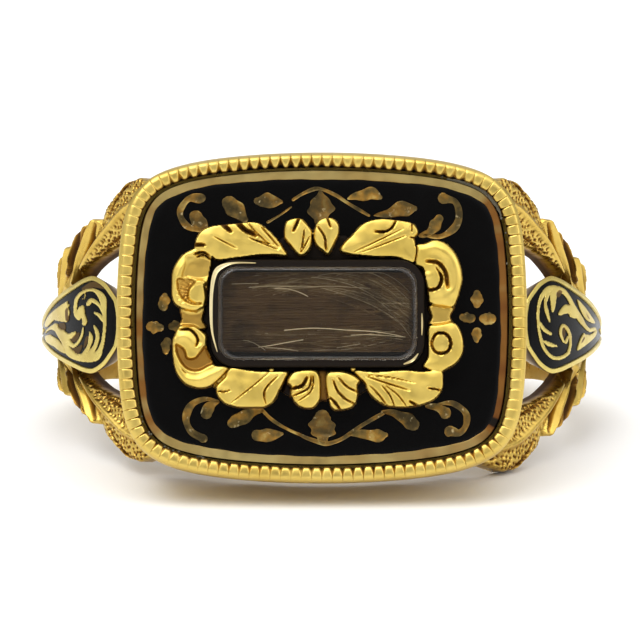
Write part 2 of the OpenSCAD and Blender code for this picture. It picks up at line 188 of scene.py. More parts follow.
def cushion(inset, count):
    """Points of the head's outline moved in along its normals by inset, a number or one for each point."""
    at = np.linspace(0, HEAD_RUN[-1], count, endpoint=False)
    x, y, nx, ny = [np.interp(at, HEAD_RUN, HEAD[:, k]) for k in range(4)]
    return np.stack([x - inset * nx, y - inset * ny], axis=1)


def cushions(count, rows):
    """Rings on the head's outline, from rows of inset and height."""
    return [level(cushion(inset, count), w) for inset, w in rows]


def rounded_rectangle(w, h, r, steps=8):
    """A rectangle's outline with round corners, about its middle."""
    points = []
    for corner, (sx, sy) in enumerate([(1, 1), (-1, 1), (-1, -1), (1, -1)]):
        for t in np.linspace(0, math.pi / 2, steps + 1) + corner * math.pi / 2:
            points.append([sx * (w / 2 - r) + r * math.cos(t), sy * (h / 2 - r) + r * math.sin(t)])
    return np.array(points)


def boxed(points, line, reach):
    """Which points lie in the line's own box grown by reach."""
    return np.flatnonzero(np.all((points > line.min(0) - reach) & (points < line.max(0) + reach), axis=1))


def distance(points, line, closed=False, reach=0.5):
    """Each point's distance to a line, and how far along it, from 0 to 1, the nearest place is.

    Points farther than reach from the line's box are given FAR."""
    a = line if closed else line[:-1]
    b = np.roll(line, -1, 0) if closed else line[1:]
    lengths = np.linalg.norm(b - a, axis=1)
    run = np.concatenate([[0], np.cumsum(lengths)])
    at = boxed(points, line, reach)
    chosen = points[at]
    best = np.full(len(at), FAR)
    share = np.zeros(len(at))
    for i in range(len(a)):
        d = b[i] - a[i]
        t = np.clip((chosen - a[i]) @ d / max(lengths[i]**2, 1e-12), 0, 1)
        gap = np.linalg.norm(chosen - a[i] - t[:, None] * d, axis=1)
        near = gap < best
        best[near] = gap[near]
        share[near] = (run[i] + t[near] * lengths[i]) / run[-1]
    whole_gap, whole_share = np.full(len(points), FAR), np.zeros(len(points))
    whole_gap[at] = best
    whole_share[at] = share
    return whole_gap, whole_share


def inside(points, line):
    """Whether each point is inside a closed line, by how often the line crosses its level beside it."""
    at = boxed(points, line, 0)
    x, y = points[at, 0], points[at, 1]
    result = np.zeros(len(at), bool)
    for (ax, ay), (bx, by) in zip(line, np.roll(line, -1, 0)):
        if ay != by:
            result ^= ((ay > y) != (by > y)) & (x < (bx - ax) * (y - ay) / (by - ay) + ax)
    whole = np.zeros(len(points), bool)
    whole[at] = result
    return whole


def depth_in(points, line):
    """Distance to a closed outline, positive inside it."""
    gap, _ = distance(points, line, closed=True)
    return np.where(inside(points, line), gap, -gap)


# Meshes

def loft(rings, wrapped=False):
    """Faces between closed rings of points. Wrapped joins the last ring to the first."""
    rings = np.asarray(rings, float)
    rows, cols = rings.shape[:2]
    faces = []
    for i in range(rows if wrapped else rows - 1):
        for k in range(cols):
            j, m = (i + 1) % rows, (k + 1) % cols
            faces.append((i * cols + k, i * cols + m, j * cols + m, j * cols + k))
    return rings.reshape(-1, 3), faces


def capped(rings):
    """A closed solid lofted through rings, with a flat cap at each end."""
    points, faces = loft(rings)
    rows, cols = np.asarray(rings).shape[:2]
    faces.append(tuple(range(cols)))
    faces.append(tuple((rows - 1) * cols + k for k in range(cols)))
    return points, faces


def level(outline, w):
    """An outline's points at a height, one for all or one for each."""
    return np.column_stack([outline, np.broadcast_to(w, len(outline))])


def shrunk(outline, by):
    """An outline moved in by a small distance along its normals."""
    onward = np.roll(outline, -1, 0)
    turn = np.sum(outline[:, 0] * onward[:, 1] - outline[:, 1] * onward[:, 0])
    return outline + math.copysign(by, turn) * left_of(headings(outline))


def widened(path, widths, per=8):
    """A smooth line along a path, with its half width and its direction at each point."""
    line = smooth_line(path, per, closed=False)
    spread = smooth_line(list(enumerate(widths)), per, closed=False)
    steps = np.linspace(0, len(widths) - 1, len(line))
    half = np.maximum(np.interp(steps, spread[:, 0], spread[:, 1]), 0.03) / 2
    return line, half, headings(line, closed=False)


def ribbon(path, widths, per=8):
    """The outline of a stroke along a path, as wide as widths says, with round ends."""
    line, half, along = widened(path, widths, per)
    normal = left_of(along)
    turns = np.linspace(0, math.pi, 7)[1:-1]
    tip = [line[-1] + half[-1] * (math.cos(t) * normal[-1] + math.sin(t) * along[-1]) for t in turns]
    tail = [line[0] - half[0] * (math.cos(t) * normal[0] + math.sin(t) * along[0]) for t in turns]
    side = half[:, None] * normal
    return np.vstack([line + side, tip, (line - side)[::-1], tail])


def rounded(x):
    """A quarter circle's height: 0 at 0, and 1 from 1 on."""
    return np.sqrt(1 - (1 - np.clip(x, 0, 1))**2)


def relief(low, high, edge_of, height_of, base, top):
    """A carved plate on a grid of cells, its rim of cells drawn in to the true edge."""
    us = np.arange(low[0], high[0] + CELL, CELL)
    vs = np.arange(low[1], high[1] + CELL, CELL)
    grid = np.stack(np.meshgrid(us, vs, indexing="ij"), axis=-1).reshape(-1, 2)
    n = len(vs)
    edge, carved = edge_of(grid)
    sdf = edge.reshape(len(us), n)
    keep = np.minimum.reduce([sdf[:-1, :-1], sdf[1:, :-1], sdf[1:, 1:], sdf[:-1, 1:]]) > -0.45 * CELL
    i, j = np.nonzero(keep)
    quads = np.stack([i * n + j, (i + 1) * n + j, (i + 1) * n + j + 1, i * n + j + 1], axis=1)
    sides = [(a, b) for k in range(4) for a, b in quads[:, [k, (k + 1) % 4]].tolist()]
    known = set(sides)
    rim_sides = [(a, b) for a, b in sides if (b, a) not in known]
    on_rim = np.zeros(len(grid), bool)
    on_rim[[k for side in rim_sides for k in side]] = True
    near = on_rim.reshape(len(us), n)
    slopes = np.gradient(sdf, CELL)
    steep = np.sqrt(slopes[0]**2 + slopes[1]**2) + 1e-9
    moves = np.stack([np.where(near, -sdf * slope / steep**2, 0).ravel() for slope in slopes], axis=1)
    used = np.unique(quads)
    count = len(used)
    renumber = np.full(len(grid), -1)
    renumber[used] = np.arange(count)
    points = (grid + np.clip(moves, -0.7 * CELL, 0.7 * CELL))[used]
    height, recess = height_of(points, carved[used])
    upper = np.column_stack([points, base + np.clip(height, THINNEST, top - base)])
    lower = level(points, base)
    faces = [tuple(q) for q in renumber[quads].tolist()]
    faces += [tuple(k + count for k in reversed(q)) for q in faces]
    for a, b in renumber[rim_sides].tolist():
        faces.append((b, a, a + count, b + count))
    return (np.vstack([upper, lower]), faces), np.concatenate([recess, np.full(count, 0.35)])


def stroke(path, widths, low, top, wobble=0.0):
    """A raised stroke along a path, in cross-sections that narrow to a round at each end."""
    line, half, along = widened(path, widths)
    ends = np.radians([85, 60, 30])
    reach, thin = np.sin(ends)[:, None], np.cos(ends)
    tail = line[0] - half[0] * reach * along[0]
    tip = line[-1] + half[-1] * reach[::-1] * along[-1]
    line = np.vstack([tail, line, tip])
    half = np.concatenate([half[0] * thin, half, half[-1] * thin[::-1]])
    normal = left_of(np.vstack([[along[0]] * 3, along, [along[-1]] * 3]))
    at = np.arange(len(line)) / 8
    sides = []
    for a, b in ((2.9, 1.3), (2.3, 1.7)):
        wave = np.sin(a * at + rng.uniform(0, 6)) * np.sin(b * at + rng.uniform(0, 6))
        sides.append(half * (1 + wobble * wave))
    left, right = sides
    edge = np.minimum(0.05, 0.3 * half)
    rows = [(left, low), (left, top - 0.015), (left - 0.3 * edge, top), (left - edge, top - 0.008),
            (edge - right, top - 0.008), (0.3 * edge - right, top), (-right, top - 0.015), (-right, low)]
    return capped(np.stack([level(line + off[:, None] * normal, w) for off, w in rows], axis=1))


def joined(parts):
    """Parts put together as one."""
    points, faces, start = [], [], 0
    for p, f in parts:
        points.append(p)
        faces += [tuple(start + k for k in face) for face in f]
        start += len(p)
    return np.vstack(points), faces


def show(name, data):
    """A new object in the scene."""
    obj = bpy.data.objects.new(name, data)
    bpy.context.scene.collection.objects.link(obj)
    return obj


def piece(name, parts, material, node, recess=None, sharp=38, merge=False):
    """Makes one mesh of closed parts, gives it its finish and hides the CAD node it stands for."""
    points, faces = joined(parts)
    mesh = bpy.data.meshes.new(name)
    mesh.from_pydata(place(points).tolist(), [], faces)
    if recess is not None:
        mesh.attributes.new("recess", "FLOAT", "POINT").data.foreach_set("value", recess.astype(np.float32))
    bm = bmesh.new()
    bm.from_mesh(mesh)
    if merge:
        bmesh.ops.remove_doubles(bm, verts=bm.verts, dist=1e-8)
    bmesh.ops.recalc_face_normals(bm, faces=bm.faces)
    bm.to_mesh(mesh)
    bm.free()
    mesh.polygons.foreach_set("use_smooth", [True] * len(mesh.polygons))
    mesh.set_sharp_from_angle(angle=math.radians(sharp))
    mesh.materials.append(material)
    obj = show(name, mesh)
    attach(obj, "root")
    if node:
        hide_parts(node)


# Materials

def new_material(name):
    """A material and its node tree."""
    material = bpy.data.materials.new(name)
    material.use_nodes = True
    return material, material.node_tree


def rgba(colour):
    """A colour with its alpha. A single number is a grey."""
    return (*colour, 1) if isinstance(colour, tuple) else (colour, colour, colour, 1)


def feed(node, sockets):
    """Sets a node's sockets, each from another node's output or to a constant."""
    for key, source in sockets.items():
        socket = node.inputs[key]
        if hasattr(source, "node"):
            node.id_data.links.new(source, socket)
        else:
            socket.default_value = rgba(source) if socket.type == "RGBA" else source
    return node


def shaded(material, sockets):
    """The material, with its shader's sockets set."""
    feed(material.node_tree.nodes["Principled BSDF"], sockets)
    return material


def add(tree, kind, sockets=None, **settings):
    """A new node with its settings and its sockets."""
    node = tree.nodes.new(kind)
    for key, value in settings.items():
        setattr(node, key, value)
    return feed(node, sockets or {})


def noise(tree, scale, detail=3.0, stretch=None):
    """Noise in the part's own coordinates, in features to the metre."""
    vector = add(tree, "ShaderNodeTexCoord").outputs["Object"]
    if stretch:
        vector = add(tree, "ShaderNodeMapping", {"Vector": vector, "Scale": stretch}).outputs["Vector"]
    sockets = {"Vector": vector, "Scale": scale, "Detail": detail}
    return add(tree, "ShaderNodeTexNoise", sockets).outputs["Fac"]


def ramp(tree, source, stops):
    """A value turned into colours, between stops of (value, colour)."""
    node = add(tree, "ShaderNodeValToRGB", {"Fac": source})
    elements = node.color_ramp.elements
    while len(elements) < len(stops):
        elements.new(0.5)
    for element, (at, colour) in zip(elements, stops):
        element.position = at
        element.color = rgba(colour)
    return node.outputs["Color"]


def mixed(tree, share, a, b, blend="MIX"):
    """Two colours mixed by a share."""
    return add(tree, "ShaderNodeMix", {0: share, 6: a, 7: b}, data_type="RGBA", blend_type=blend).outputs[2]


def bump(tree, height, strength, distance_m):
    """Normals bent by a height."""
    sockets = {"Height": height, "Strength": strength, "Distance": distance_m}
    return add(tree, "ShaderNodeBump", sockets).outputs["Normal"]


def recess_of(tree):
    """The mesh's own marks from 0 to 1: how deep in a recess it is, or how pale a strand is."""
    return add(tree, "ShaderNodeAttribute", attribute_name="recess").outputs["Fac"]


def gold(name, bright, worn, dirt, rough, patch=700, reach=0.00028):
    """Old gold: a bright alloy, duller in patches, then amber, brown and black in its recesses: dirt, and
    painted shade.

    The mesh marks its recesses, and occlusion finds the corners between pieces; the colour called dirt
    stands for both the dirt and the painted shade there."""
    material, tree = new_material(name)
    base = mixed(tree, ramp(tree, noise(tree, patch, 4), [(0.4, 0), (0.72, 1)]), bright, worn)
    # Occlusion darkens the corners between pieces: painted shade
    openness = add(tree, "ShaderNodeAmbientOcclusion", {"Distance": reach}, samples=8).outputs["AO"]
    shut_in = add(tree, "ShaderNodeMapRange", {0: openness, 1: 0.38, 2: 0.06}).outputs[0]
    marks = {0: recess_of(tree), 1: shut_in}
    dirt_and_shade = add(tree, "ShaderNodeMath", marks, operation="MAXIMUM", use_clamp=True).outputs[0]
    amber = tuple(k * (0.45 * w + 0.55 * d) for w, d, k in zip(worn, dirt, AMBER))
    tinged = mixed(tree, ramp(tree, dirt_and_shade, [(0.08, 0), (0.5, 1)]), base, amber)
    dark = ramp(tree, dirt_and_shade, [(0.45, 0), (0.9, 1)])
    blackest = ramp(tree, dirt_and_shade, [(0.92, 0), (1, 1)])
    grain = noise(tree, 2600, 5)
    roughness = ramp(tree, grain, [(0.3, rough - 0.06), (0.75, rough + 0.1)])
    return shaded(material, {
        "Base Color": mixed(tree, blackest, mixed(tree, dark, tinged, dirt), SOOT_AND_SHADE),
        "Metallic": mixed(tree, dark, 1, 0.3),
        "Specular IOR Level": 0.12,
        "Roughness": mixed(tree, dark, roughness, 0.6),
        "Normal": bump(tree, grain, 0.15, 0.00003)
    })


GOLD_BRIGHT = (0.66, 0.46, 0.108)
GOLD_WORN = (0.52, 0.335, 0.063)
# Dirt and painted shade in the gold's recesses: brown, then near black
BROWN = (0.060, 0.024, 0.005)
SOOT_AND_SHADE = (0.008, 0.005, 0.003)
# Turns the mean of worn gold and the dirt colour to amber: the first tone of dirt and painted shade in a
# recess
AMBER = (1.05, 0.84, 0.72)

band_gold = gold("band_gold", GOLD_BRIGHT, GOLD_WORN, BROWN, 0.3)
rim_gold = gold("rim_gold", (0.66, 0.485, 0.125), (0.58, 0.405, 0.09), BROWN, 0.34)
frame_gold = gold("frame_gold", (0.69, 0.505, 0.12), (0.61, 0.43, 0.085), (0.11, 0.048, 0.01), 0.36)
plaque_gold = gold("plaque_gold", (0.46, 0.355, 0.135), (0.36, 0.235, 0.07), (0.12, 0.042, 0.008), 0.36,
                   patch=420, reach=0.0001)


def motif():
    """The sprigs' gold, stained olive, brown and orange, with bright specks."""
    material, tree = new_material("motif_gold")
    tones = ramp(tree, noise(tree, 1900, 6), [(0.36, (0.055, 0.04, 0.013)), (0.47, (0.15, 0.098, 0.026)),
                                              (0.57, (0.3, 0.155, 0.024)), (0.68, (0.42, 0.3, 0.085))])
    stained = mixed(tree, recess_of(tree), tones, (0.045, 0.03, 0.013))
    specks = ramp(tree, noise(tree, 5200, 3), [(0.64, 0), (0.74, 0.7)])
    return shaded(material, {
        "Base Color": mixed(tree, specks, stained, (0.62, 0.5, 0.26)),
        "Metallic": 0.85,
        "Roughness": ramp(tree, noise(tree, 2500, 4), [(0.3, 0.3), (0.8, 0.55)]),
        "Normal": bump(tree, noise(tree, 1800, 3), 0.5, 0.00004)
    })


motif_gold = motif()


def enamel(name, colour, rough, shine=0.15):
    """Black glass fired on metal, a little cloudy and scratched."""
    material, tree = new_material(name)
    return shaded(material, {
        "Base Color": mixed(tree, noise(tree, 500, 3), colour, tuple(1.6 * c for c in colour)),
        "Roughness": ramp(tree, noise(tree, 1500, 4), [(0.35, rough), (0.8, rough + 0.1)]),
        "Specular IOR Level": shine,
        "Normal": bump(tree, noise(tree, 900, 2), 0.06, 0.00003)
    })


field_black = enamel("field_black", (0.0016, 0.0015, 0.0015), 0.06)
shoulder_black = enamel("shoulder_black", (0.003, 0.003, 0.0032), 0.2, 0.06)


def crystal_glass():
    """Old glass, a little warm."""
    material, tree = new_material("crystal_glass")
    return shaded(material, {
        "Base Color": (0.97, 0.92, 0.81),
        "Specular IOR Level": 0.08,
        "Transmission Weight": 1,
        "IOR": 1.5,
        "Roughness": ramp(tree, noise(tree, 800, 3), [(0.4, 0.01), (0.8, 0.06)]),
        "Normal": bump(tree, noise(tree, 600, 2), 0.05, 0.00003)
    })


def hair_strands():
    """Hair, from dark brown to straw by each strand's mark, the palest strands being painted highlights, and
    stained in blotches.
    """
    material, tree = new_material("hair_strands")
    tone = ramp(tree, recess_of(tree), [(0, (0.03, 0.017, 0.007)), (0.45, (0.1, 0.058, 0.024)),
                                        (0.75, (0.2, 0.145, 0.08)), (1, (1.0, 0.88, 0.66))])
    blotches = ramp(tree, noise(tree, 700, 6), [(0.34, 0.3), (0.5, 1)])
    return shaded(material, {
        "Base Color": mixed(tree, 0.8, tone, blotches, "MULTIPLY"),
        "Roughness": ramp(tree, noise(tree, 3000, 3, (0.2, 1, 1)), [(0.3, 0.3), (0.8, 0.5)]),
        "Specular IOR Level": 0.1
    })


# The milled rim

# The rim's profile from its outer edge inwards: share of its width, and drop below its top
RIM_PROFILE = [
    (0, 0.44), (0.02, 0.39), (0.055, 0.3), (0.1, 0.21), (0.16, 0.12), (0.23, 0.05), (0.31, 0.012),
    (0.42, 0.0), (0.54, 0.0), (0.66, 0.004), (0.76, 0.01), (0.84, 0.022), (0.91, 0.045), (0.96, 0.085),
    (1.0, 0.16)
]
RIM_LIP = 0.06


def milled_rim():
    """A flat rim cut into bars by fine lines, which open into nicks along its inner edge."""
    per = 16
    count = RIM_NOTCHES * per
    phase = (np.arange(count) % per) / per
    from_cut = np.minimum(phase, 1 - phase)
    turn = np.arange(count) / count * 2 * math.pi
    worn_corner = np.exp(-((turn - math.radians(143)) / 0.28)**2)
    wear = (0.7 + 0.3 * np.cos(turn * 3 + 1.2) * np.cos(turn * 7)) * (1 - 0.35 * worn_corner)
    uneven = 0.5 + 0.5 * np.sin(np.floor(np.arange(count) / per) * 12.9898)
    above = ease((np.sin(turn) - 0.66) / 0.12)
    below = ease((-np.sin(turn) - 0.5) / 0.2)
    beside = np.exp(-((turn - math.radians(183)) / 0.2)**2) * (1 - 0.7 * uneven)
    sway = 0.008 * np.sin(turn * 23) + 0.006 * np.sin(turn * 41 + 1)
    rings, recess = [], []
    for share, drop in RIM_PROFILE:
        opening = ease((share - 0.3) / 0.6)
        half = 0.055 + (0.03 + 0.05 * uneven + 0.19 * above + 0.10 * below + 0.1 * beside) * opening
        cut = np.clip(1 - from_cut / half, 0, 1)**0.7
        depth = (0.035 + (0.015 + 0.12 * above + 0.07 * below + 0.05 * beside) * opening) * wear
        depth = depth * ease((share - 0.02) / 0.2)
        bulge = 0.02 * ease(from_cut / 0.3) * ease(share / 0.3) * (0.1 + 0.9 * above)
        if share < 0.35:
            drop = drop * (0.4 + 0.6 * np.maximum(above, 0.5 * below))
        bite = (0.06 + 0.05 * above) * np.clip(1 - from_cut / (half + 0.1), 0, 1) * wear
        inset = (RIM_W + RIM_LIP) * share - bite * ease((share - 0.7) / 0.3) + sway * (share > 0.9)
        rings.append(level(cushion(inset, count), RIM_TOP - 0.024 - drop - depth * cut + bulge))
        # The marks darken the cuts, the nicks and the inner edge: dirt and painted shade
        recess.append(cut * wear * (0.4 + 0.5 * opening) * ease(share / 0.15)
                      + 0.25 * cut * (share > 0.8) + 0.5 * (share > 0.95) + 0.5 * (share > 0.98))
    rings += cushions(count, [(RIM_W, RIM_TOP - 0.3), (RIM_W, RIM_TOP - RIM_H), (0, RIM_TOP - RIM_H)])
    # The inner wall, in the gap by the plaque, is marked fully dark: painted shade
    recess.append(np.repeat([1.0, 1.0, 0.0], count))
    return loft(rings, wrapped=True), np.concatenate(recess)


rim_part, rim_recess = milled_rim()
piece("milled_rim", [rim_part], rim_gold, "band", rim_recess, sharp=50)


# The head's box

def back_of(x):
    """Height of the box's back: flat, but hollowed by the finger hole."""
    return np.maximum(BOX_BACK, np.sqrt(np.maximum(BORE_R**2 - x**2, 0)))


def head_box():
    """The box below the rim, open above for the plaque."""
    count = 360
    floor = cushion(BOX_INSET + 0.12, count)
    rings = [level(floor * share, back_of(floor[:, 0] * share)) for share in np.linspace(0, 1, 40)[1:]]
    back = back_of(cushion(BOX_INSET, count)[:, 0])
    walls = [(BOX_INSET, w) for w in np.linspace(BOX_BACK + 1, BOX_TOP - 0.1, 6)]
    rings += cushions(count, [(BOX_INSET + 0.04, back + 0.04), (BOX_INSET, back + 0.12), *walls,
                              (BOX_INSET, BOX_TOP), (CAVITY_INSET, BOX_TOP), (CAVITY_INSET, CAVITY_FLOOR)])
    return capped(rings)


piece("head_box", [head_box()], band_gold, None)


# The shoulders and the hoop

LEAF_START, LEAF_JOIN, LEAF_END = 16.9, 84, 114
LEAF_BACK = 0.55
# The depth of a dent, and the millimetres in a degree on the leaves
DENT = 0.1
ARC = math.radians(1) * 10.3

# Outer edge of the upper leaves: angle from the head, and distance from the ring's middle
LEAF_OUTER = [
    (14, 5.04), (34, 5.2), (39, 5.45), (43, 5.6), (47, 5.4), (50, 4.98), (52.4, 4.62), (54.2, 4.4),
    (55.2, 3.95), (55.9, 3.72), (57, 3.95), (60, 3.96), (64, 3.66), (67, 3.3), (69.5, 2.92), (70.6, 2.78),
    (71.5, 2.98), (75, 2.92), (79, 2.62), (82.5, 2.32), (84, 2.2), (85, 2.36), (89, 2.27), (94, 2.0),
    (97, 1.84), (98.5, 1.92), (104, 1.84), (114, 1.7), (180, 1.3)
]
# Their inner edge in the same way
LEAF_INNER = [
    (14, 3.7), (34, 3.7), (39, 3.5), (44, 3.25), (49, 2.97), (52, 2.8), (55, 2.6), (59, 2.36), (63, 2.08),
    (66, 1.82), (70, 1.45), (75, 0.95), (79, 0.5), (84, 0), (180, 0)
]

# The leaves' lobes: a closed outline of (angle, distance from the middle), and the heights of its edge and
# its crown above the finger hole
LOBES = [
    ([(10, 5.3), (34, 5.5), (43, 5.9), (50, 5.2), (54, 4.6), (56.3, 3.9), (60, 3.05), (64, 2.3), (68, 1.65),
     (66, 1.2), (56, 2.0), (44, 2.9), (10, 3.3)], 1.06, 1.42),
    ([(56.4, 3.75), (57.5, 4.2), (61, 4.15), (67, 3.6), (70.5, 2.95), (75, 2.0), (80, 1.1), (79.5, 0.55),
     (74, 0.8), (69.5, 1.45), (64, 2.2), (59.5, 3.05)], 1.08, 1.46),
    ([(70.4, 2.8), (71.3, 3.2), (75, 3.15), (80, 2.8), (84.2, 2.3), (89, 1.35), (93, 0.5), (88, 0.1),
     (82, 0.3), (77, 1.3), (73, 2.1)], 1.02, 1.38),
    ([(83.9, 2.2), (84.8, 2.6), (89, 2.5), (96, 2.1), (100, 1.3), (104, 0.4), (97, 0.1), (91.5, 0.8),
     (87, 1.6)], 0.95, 1.3),
    ([(97.2, 1.8), (98.2, 2.1), (104, 2.0), (112, 1.8), (116, 0.8), (108, 0.2), (102, 0.9)], 0.85, 1.18)
]
# Chased lines: path, width and depth. The wide ones are the lobes' flutes, marked brown
# as dirt and painted shade
GROOVES = [
    ([(60.3, 3.95), (62.2, 3.6), (64.8, 3.05), (68, 2.35), (71.5, 1.7)], 0.32, 0.5),
    ([(75.2, 2.9), (77.2, 2.45), (80, 1.85), (83.5, 1.2)], 0.27, 0.46),
    ([(88, 2.2), (90.5, 1.6), (94, 0.9)], 0.18, 0.42),
    ([(101, 1.8), (103.5, 1.2), (107, 0.5)], 0.14, 0.3),
    ([(57.9, 3.75), (60.2, 3.05), (64.2, 2.25), (69.5, 1.4)], 0.09, 0.24),
    ([(64.5, 3.6), (67.5, 2.85), (71.5, 2.0), (76, 1.2)], 0.09, 0.26),
    ([(67.2, 3.25), (69.8, 2.6), (73.5, 1.75)], 0.08, 0.22),
    ([(71.6, 2.75), (74.2, 2.05), (78.3, 1.25)], 0.08, 0.24),
    ([(79.2, 2.6), (81.8, 2.0), (85.5, 1.2)], 0.08, 0.24),
    ([(85.5, 2.15), (88.2, 1.4), (92, 0.7)], 0.07, 0.2),
    ([(92, 2.0), (95, 1.4), (99, 0.8)], 0.07, 0.18),
    ([(44, 5.6), (48.5, 4.95), (51.5, 4.3), (53.6, 3.9)], 0.08, 0.16),
    ([(36, 4.15), (42, 3.85), (50, 3.15), (57, 2.55)], 0.07, 0.14)
]
# The leaves' ridges: path, width and rise
RIDGES = [
    ([(34, 4.9), (40, 4.8), (46, 4.4), (52, 3.6), (58, 2.85), (64, 2.15)], 0.13, 0.2),
    ([(58.8, 3.95), (61, 3.3), (64.8, 2.5), (69.8, 1.65)], 0.1, 0.14),
    ([(62.9, 3.9), (65.3, 3.35), (68.7, 2.65), (72.5, 1.95)], 0.1, 0.16),
    ([(73.2, 2.9), (75.3, 2.3), (78.6, 1.5), (82, 0.9)], 0.08, 0.12),
    ([(77.5, 2.8), (79.7, 2.3), (82.9, 1.6)], 0.09, 0.13),
    ([(89.8, 2.2), (92.5, 1.5), (96.5, 0.7)], 0.09, 0.1)
]
# The leaves' reach from the middle in each quarter, by angle: (half, side), with 1 for up and for right
REACH_ANGLES = (16, 43, 57, 71, 86, 100)
REACH = {
    (1, 1): (1.0, 1.0, 1.05, 0.94, 1.0, 1.0),
    (1, -1): (1.0, 1.0, 1.037, 1.09, 1.04, 1.0),
    (-1, 1): (1.0, 1.015, 1.08, 1.03, 1.0, 1.0),
    (-1, -1): (0.95, 0.948, 0.963, 0.88, 0.95, 1.0)
}


def on_roll(points):
    """(angle, v) to the unrolled surface, in millimetres."""
    return np.asarray(points, float) * [ARC, 1]


def stipple(points, pitch=0.17):
    """The punched ground of a matted leaf: one small dent a cell, each out of line by chance."""
    cells = np.floor(points / pitch).astype(int)
    dent = np.zeros(len(points))
    for dx in (-1, 0, 1):
        for dy in (-1, 0, 1):
            cell = cells + [dx, dy]
            seeds = [np.sin(cell[:, 0] * 127.1 + cell[:, 1] * 311.7) * 43758.5453,
                     np.sin(cell[:, 0] * 269.5 + cell[:, 1] * 183.3) * 21931.347]
            middle = (cell + 0.5 + 0.32 * np.modf(np.stack(seeds, axis=1))[0]) * pitch
            gap = np.linalg.norm(points - middle, axis=1)
            dent = np.maximum(dent, np.clip(1 - gap / (0.46 * pitch), 0, 1))
    return DENT * dent


def leaf_height(angles, vs):
    """Height of the shoulders' carving above the finger hole, and how deep in a recess each point is."""
    points = on_roll(np.stack([angles, vs], axis=1))
    height = np.full(len(points), 0.82)
    matted = np.zeros(len(points))
    for number, (outline, edge, crown) in enumerate(LOBES):
        depth = depth_in(points, on_roll(smooth_line(outline, 5)))
        lobe = np.where(depth > 0, edge + (crown - edge) * rounded(depth / 0.8), edge - 3 * np.abs(depth))
        if number == 0:
            matted = ease(depth / 0.25)
        height = np.maximum(height, lobe)
    # The lower the carving lies, the darker it is marked: dirt and painted shade
    recess = ease((1.12 - height) / 0.3) * 0.7
    for path, width, deep in GROOVES:
        gap, share = distance(points, on_roll(smooth_line(path, 5, closed=False)))
        taper = np.sin(math.pi * np.clip(share * 0.85 + 0.12, 0, 1))**0.6
        cut = deep * np.clip(1 - gap / width, 0, 1)**0.8 * taper
        height -= cut
        darkest = min(0.66 if width > 0.15 else 0.9, 4.2 * deep)
        recess = np.maximum(recess, np.clip(1.5 * cut / deep, 0, 1) * darkest)
    smooth = np.zeros(len(points))
    for path, width, rise in RIDGES:
        gap, _ = distance(points, on_roll(smooth_line(path, 5, closed=False)))
        ridge = np.exp(-(gap / width)**2)
        height += rise * ridge
        smooth = np.maximum(smooth, ridge)
    dents = stipple(points) * matted * (1 - ease(smooth * 1.6))
    # Dents are marked dark: dirt and painted shade in them
    recess = np.maximum(recess, dents / DENT * 1.2)
    return np.maximum(height - dents, LEAF_BACK), recess


def hoop_half(angles):
    """Half the hoop's width behind the shoulders."""
    return (SIDE_W + (HOOP_W - SIDE_W) * ease((angles - 90) / 90)) / 2


def hoop():
    """The two shoulders and the hoop behind them, as one skin for each quarter."""
    across = 58
    spans = [(LEAF_START, 42, 0.6), (42, 62, 0.22), (62, LEAF_JOIN, 0.3), (LEAF_JOIN, 98, 0.4),
             (98, LEAF_END, 0.8), (LEAF_END, 180.1, 3.0)]
    angles = np.concatenate([np.arange(*span) for span in spans])
    high, low = [np.interp(angles, *np.array(edge).T) for edge in (LEAF_OUTER, LEAF_INNER)]
    high = np.where(angles > 98, np.maximum(high, hoop_half(angles)), high)[:, None]
    low = low[:, None]
    share = np.linspace(0, 1, across)[None, :]
    v = low + (high - low) * (0.6 * share + 0.4 * (0.5 - 0.5 * np.cos(math.pi * share)))
    across_share = (v - low) / (high - low)
    turn = np.repeat(angles[:, None], across, 1)
    carved, recess = [part.reshape(v.shape) for part in leaf_height(turn.ravel(), v.ravel())]
    join = ease((turn - LEAF_JOIN) / (LEAF_END - LEAF_JOIN))
    height = carved * (1 - join) + (HOOP_T - 0.03) * (0.6 + 0.4 * (1 - across_share**2.4)) * join
    outer_gap = (1 - across_share) * (high - low)
    inner_gap = np.where(turn < LEAF_JOIN, across_share * (high - low), FAR)
    edge = np.clip(1 - np.minimum(outer_gap, inner_gap) / 0.1, 0, 1)**2
    height = height - 0.16 * edge
    recess = recess * (1 - join) * (1 - 0.6 * edge)
    foot = LEAF_BACK * (ease((80 - angles) / 12) * ease((angles - 28) / 12))[:, None]
    radius = BORE_R + np.hstack([foot, foot + 0.25, height, foot + 0.25, foot])
    sides = np.hstack([low, low, v, high, high])
    bare = np.zeros_like(high)
    # The side walls are marked dark, the inner ones facing the gap darker: painted shade
    marks = np.hstack([bare + 0.8, bare + 0.85, recess, bare + 0.4, bare])
    closed_up = angles >= LEAF_JOIN - 1e-6
    marks[closed_up, :2] = recess[closed_up, :1]
    t = np.radians(angles)[:, None]
    cols = across + 4
    parts = []
    for (half, side), reaches in REACH.items():
        reach = np.interp(angles, REACH_ANGLES, reaches)[:, None]
        skin = [side * radius * np.sin(t), half * reach * sides, radius * np.cos(t)]
        points, faces = loft(np.stack(skin, axis=2))
        faces = [face for n, face in enumerate(faces) if not (closed_up[n // cols] and n % cols < 2)]
        faces.append(tuple(range(cols)))
        parts.append((points, faces))
    return parts, np.tile(marks.ravel(), 4)


hoop_parts, hoop_recess = hoop()
piece("hoop_and_leaves", hoop_parts, band_gold, None, hoop_recess, sharp=42, merge=True)


# The shoulder panels

PANEL_HALF = 1.87
PANEL_BACK = 1.05
PANEL_BORDER = 0.2
# A panel's upper edge: angle from the head, and distance from its middle as a share of PANEL_HALF
PANEL_ROWS = [
    (46, 0.50), (47.5, 0.66), (50, 0.87), (53.5, 1.0), (57, 0.97), (60.6, 0.88), (64, 0.79), (68, 0.69),
    (72, 0.59), (77, 0.46), (82, 0.34), (90, 0.21), (98, 0.1), (103, 0.03)
]

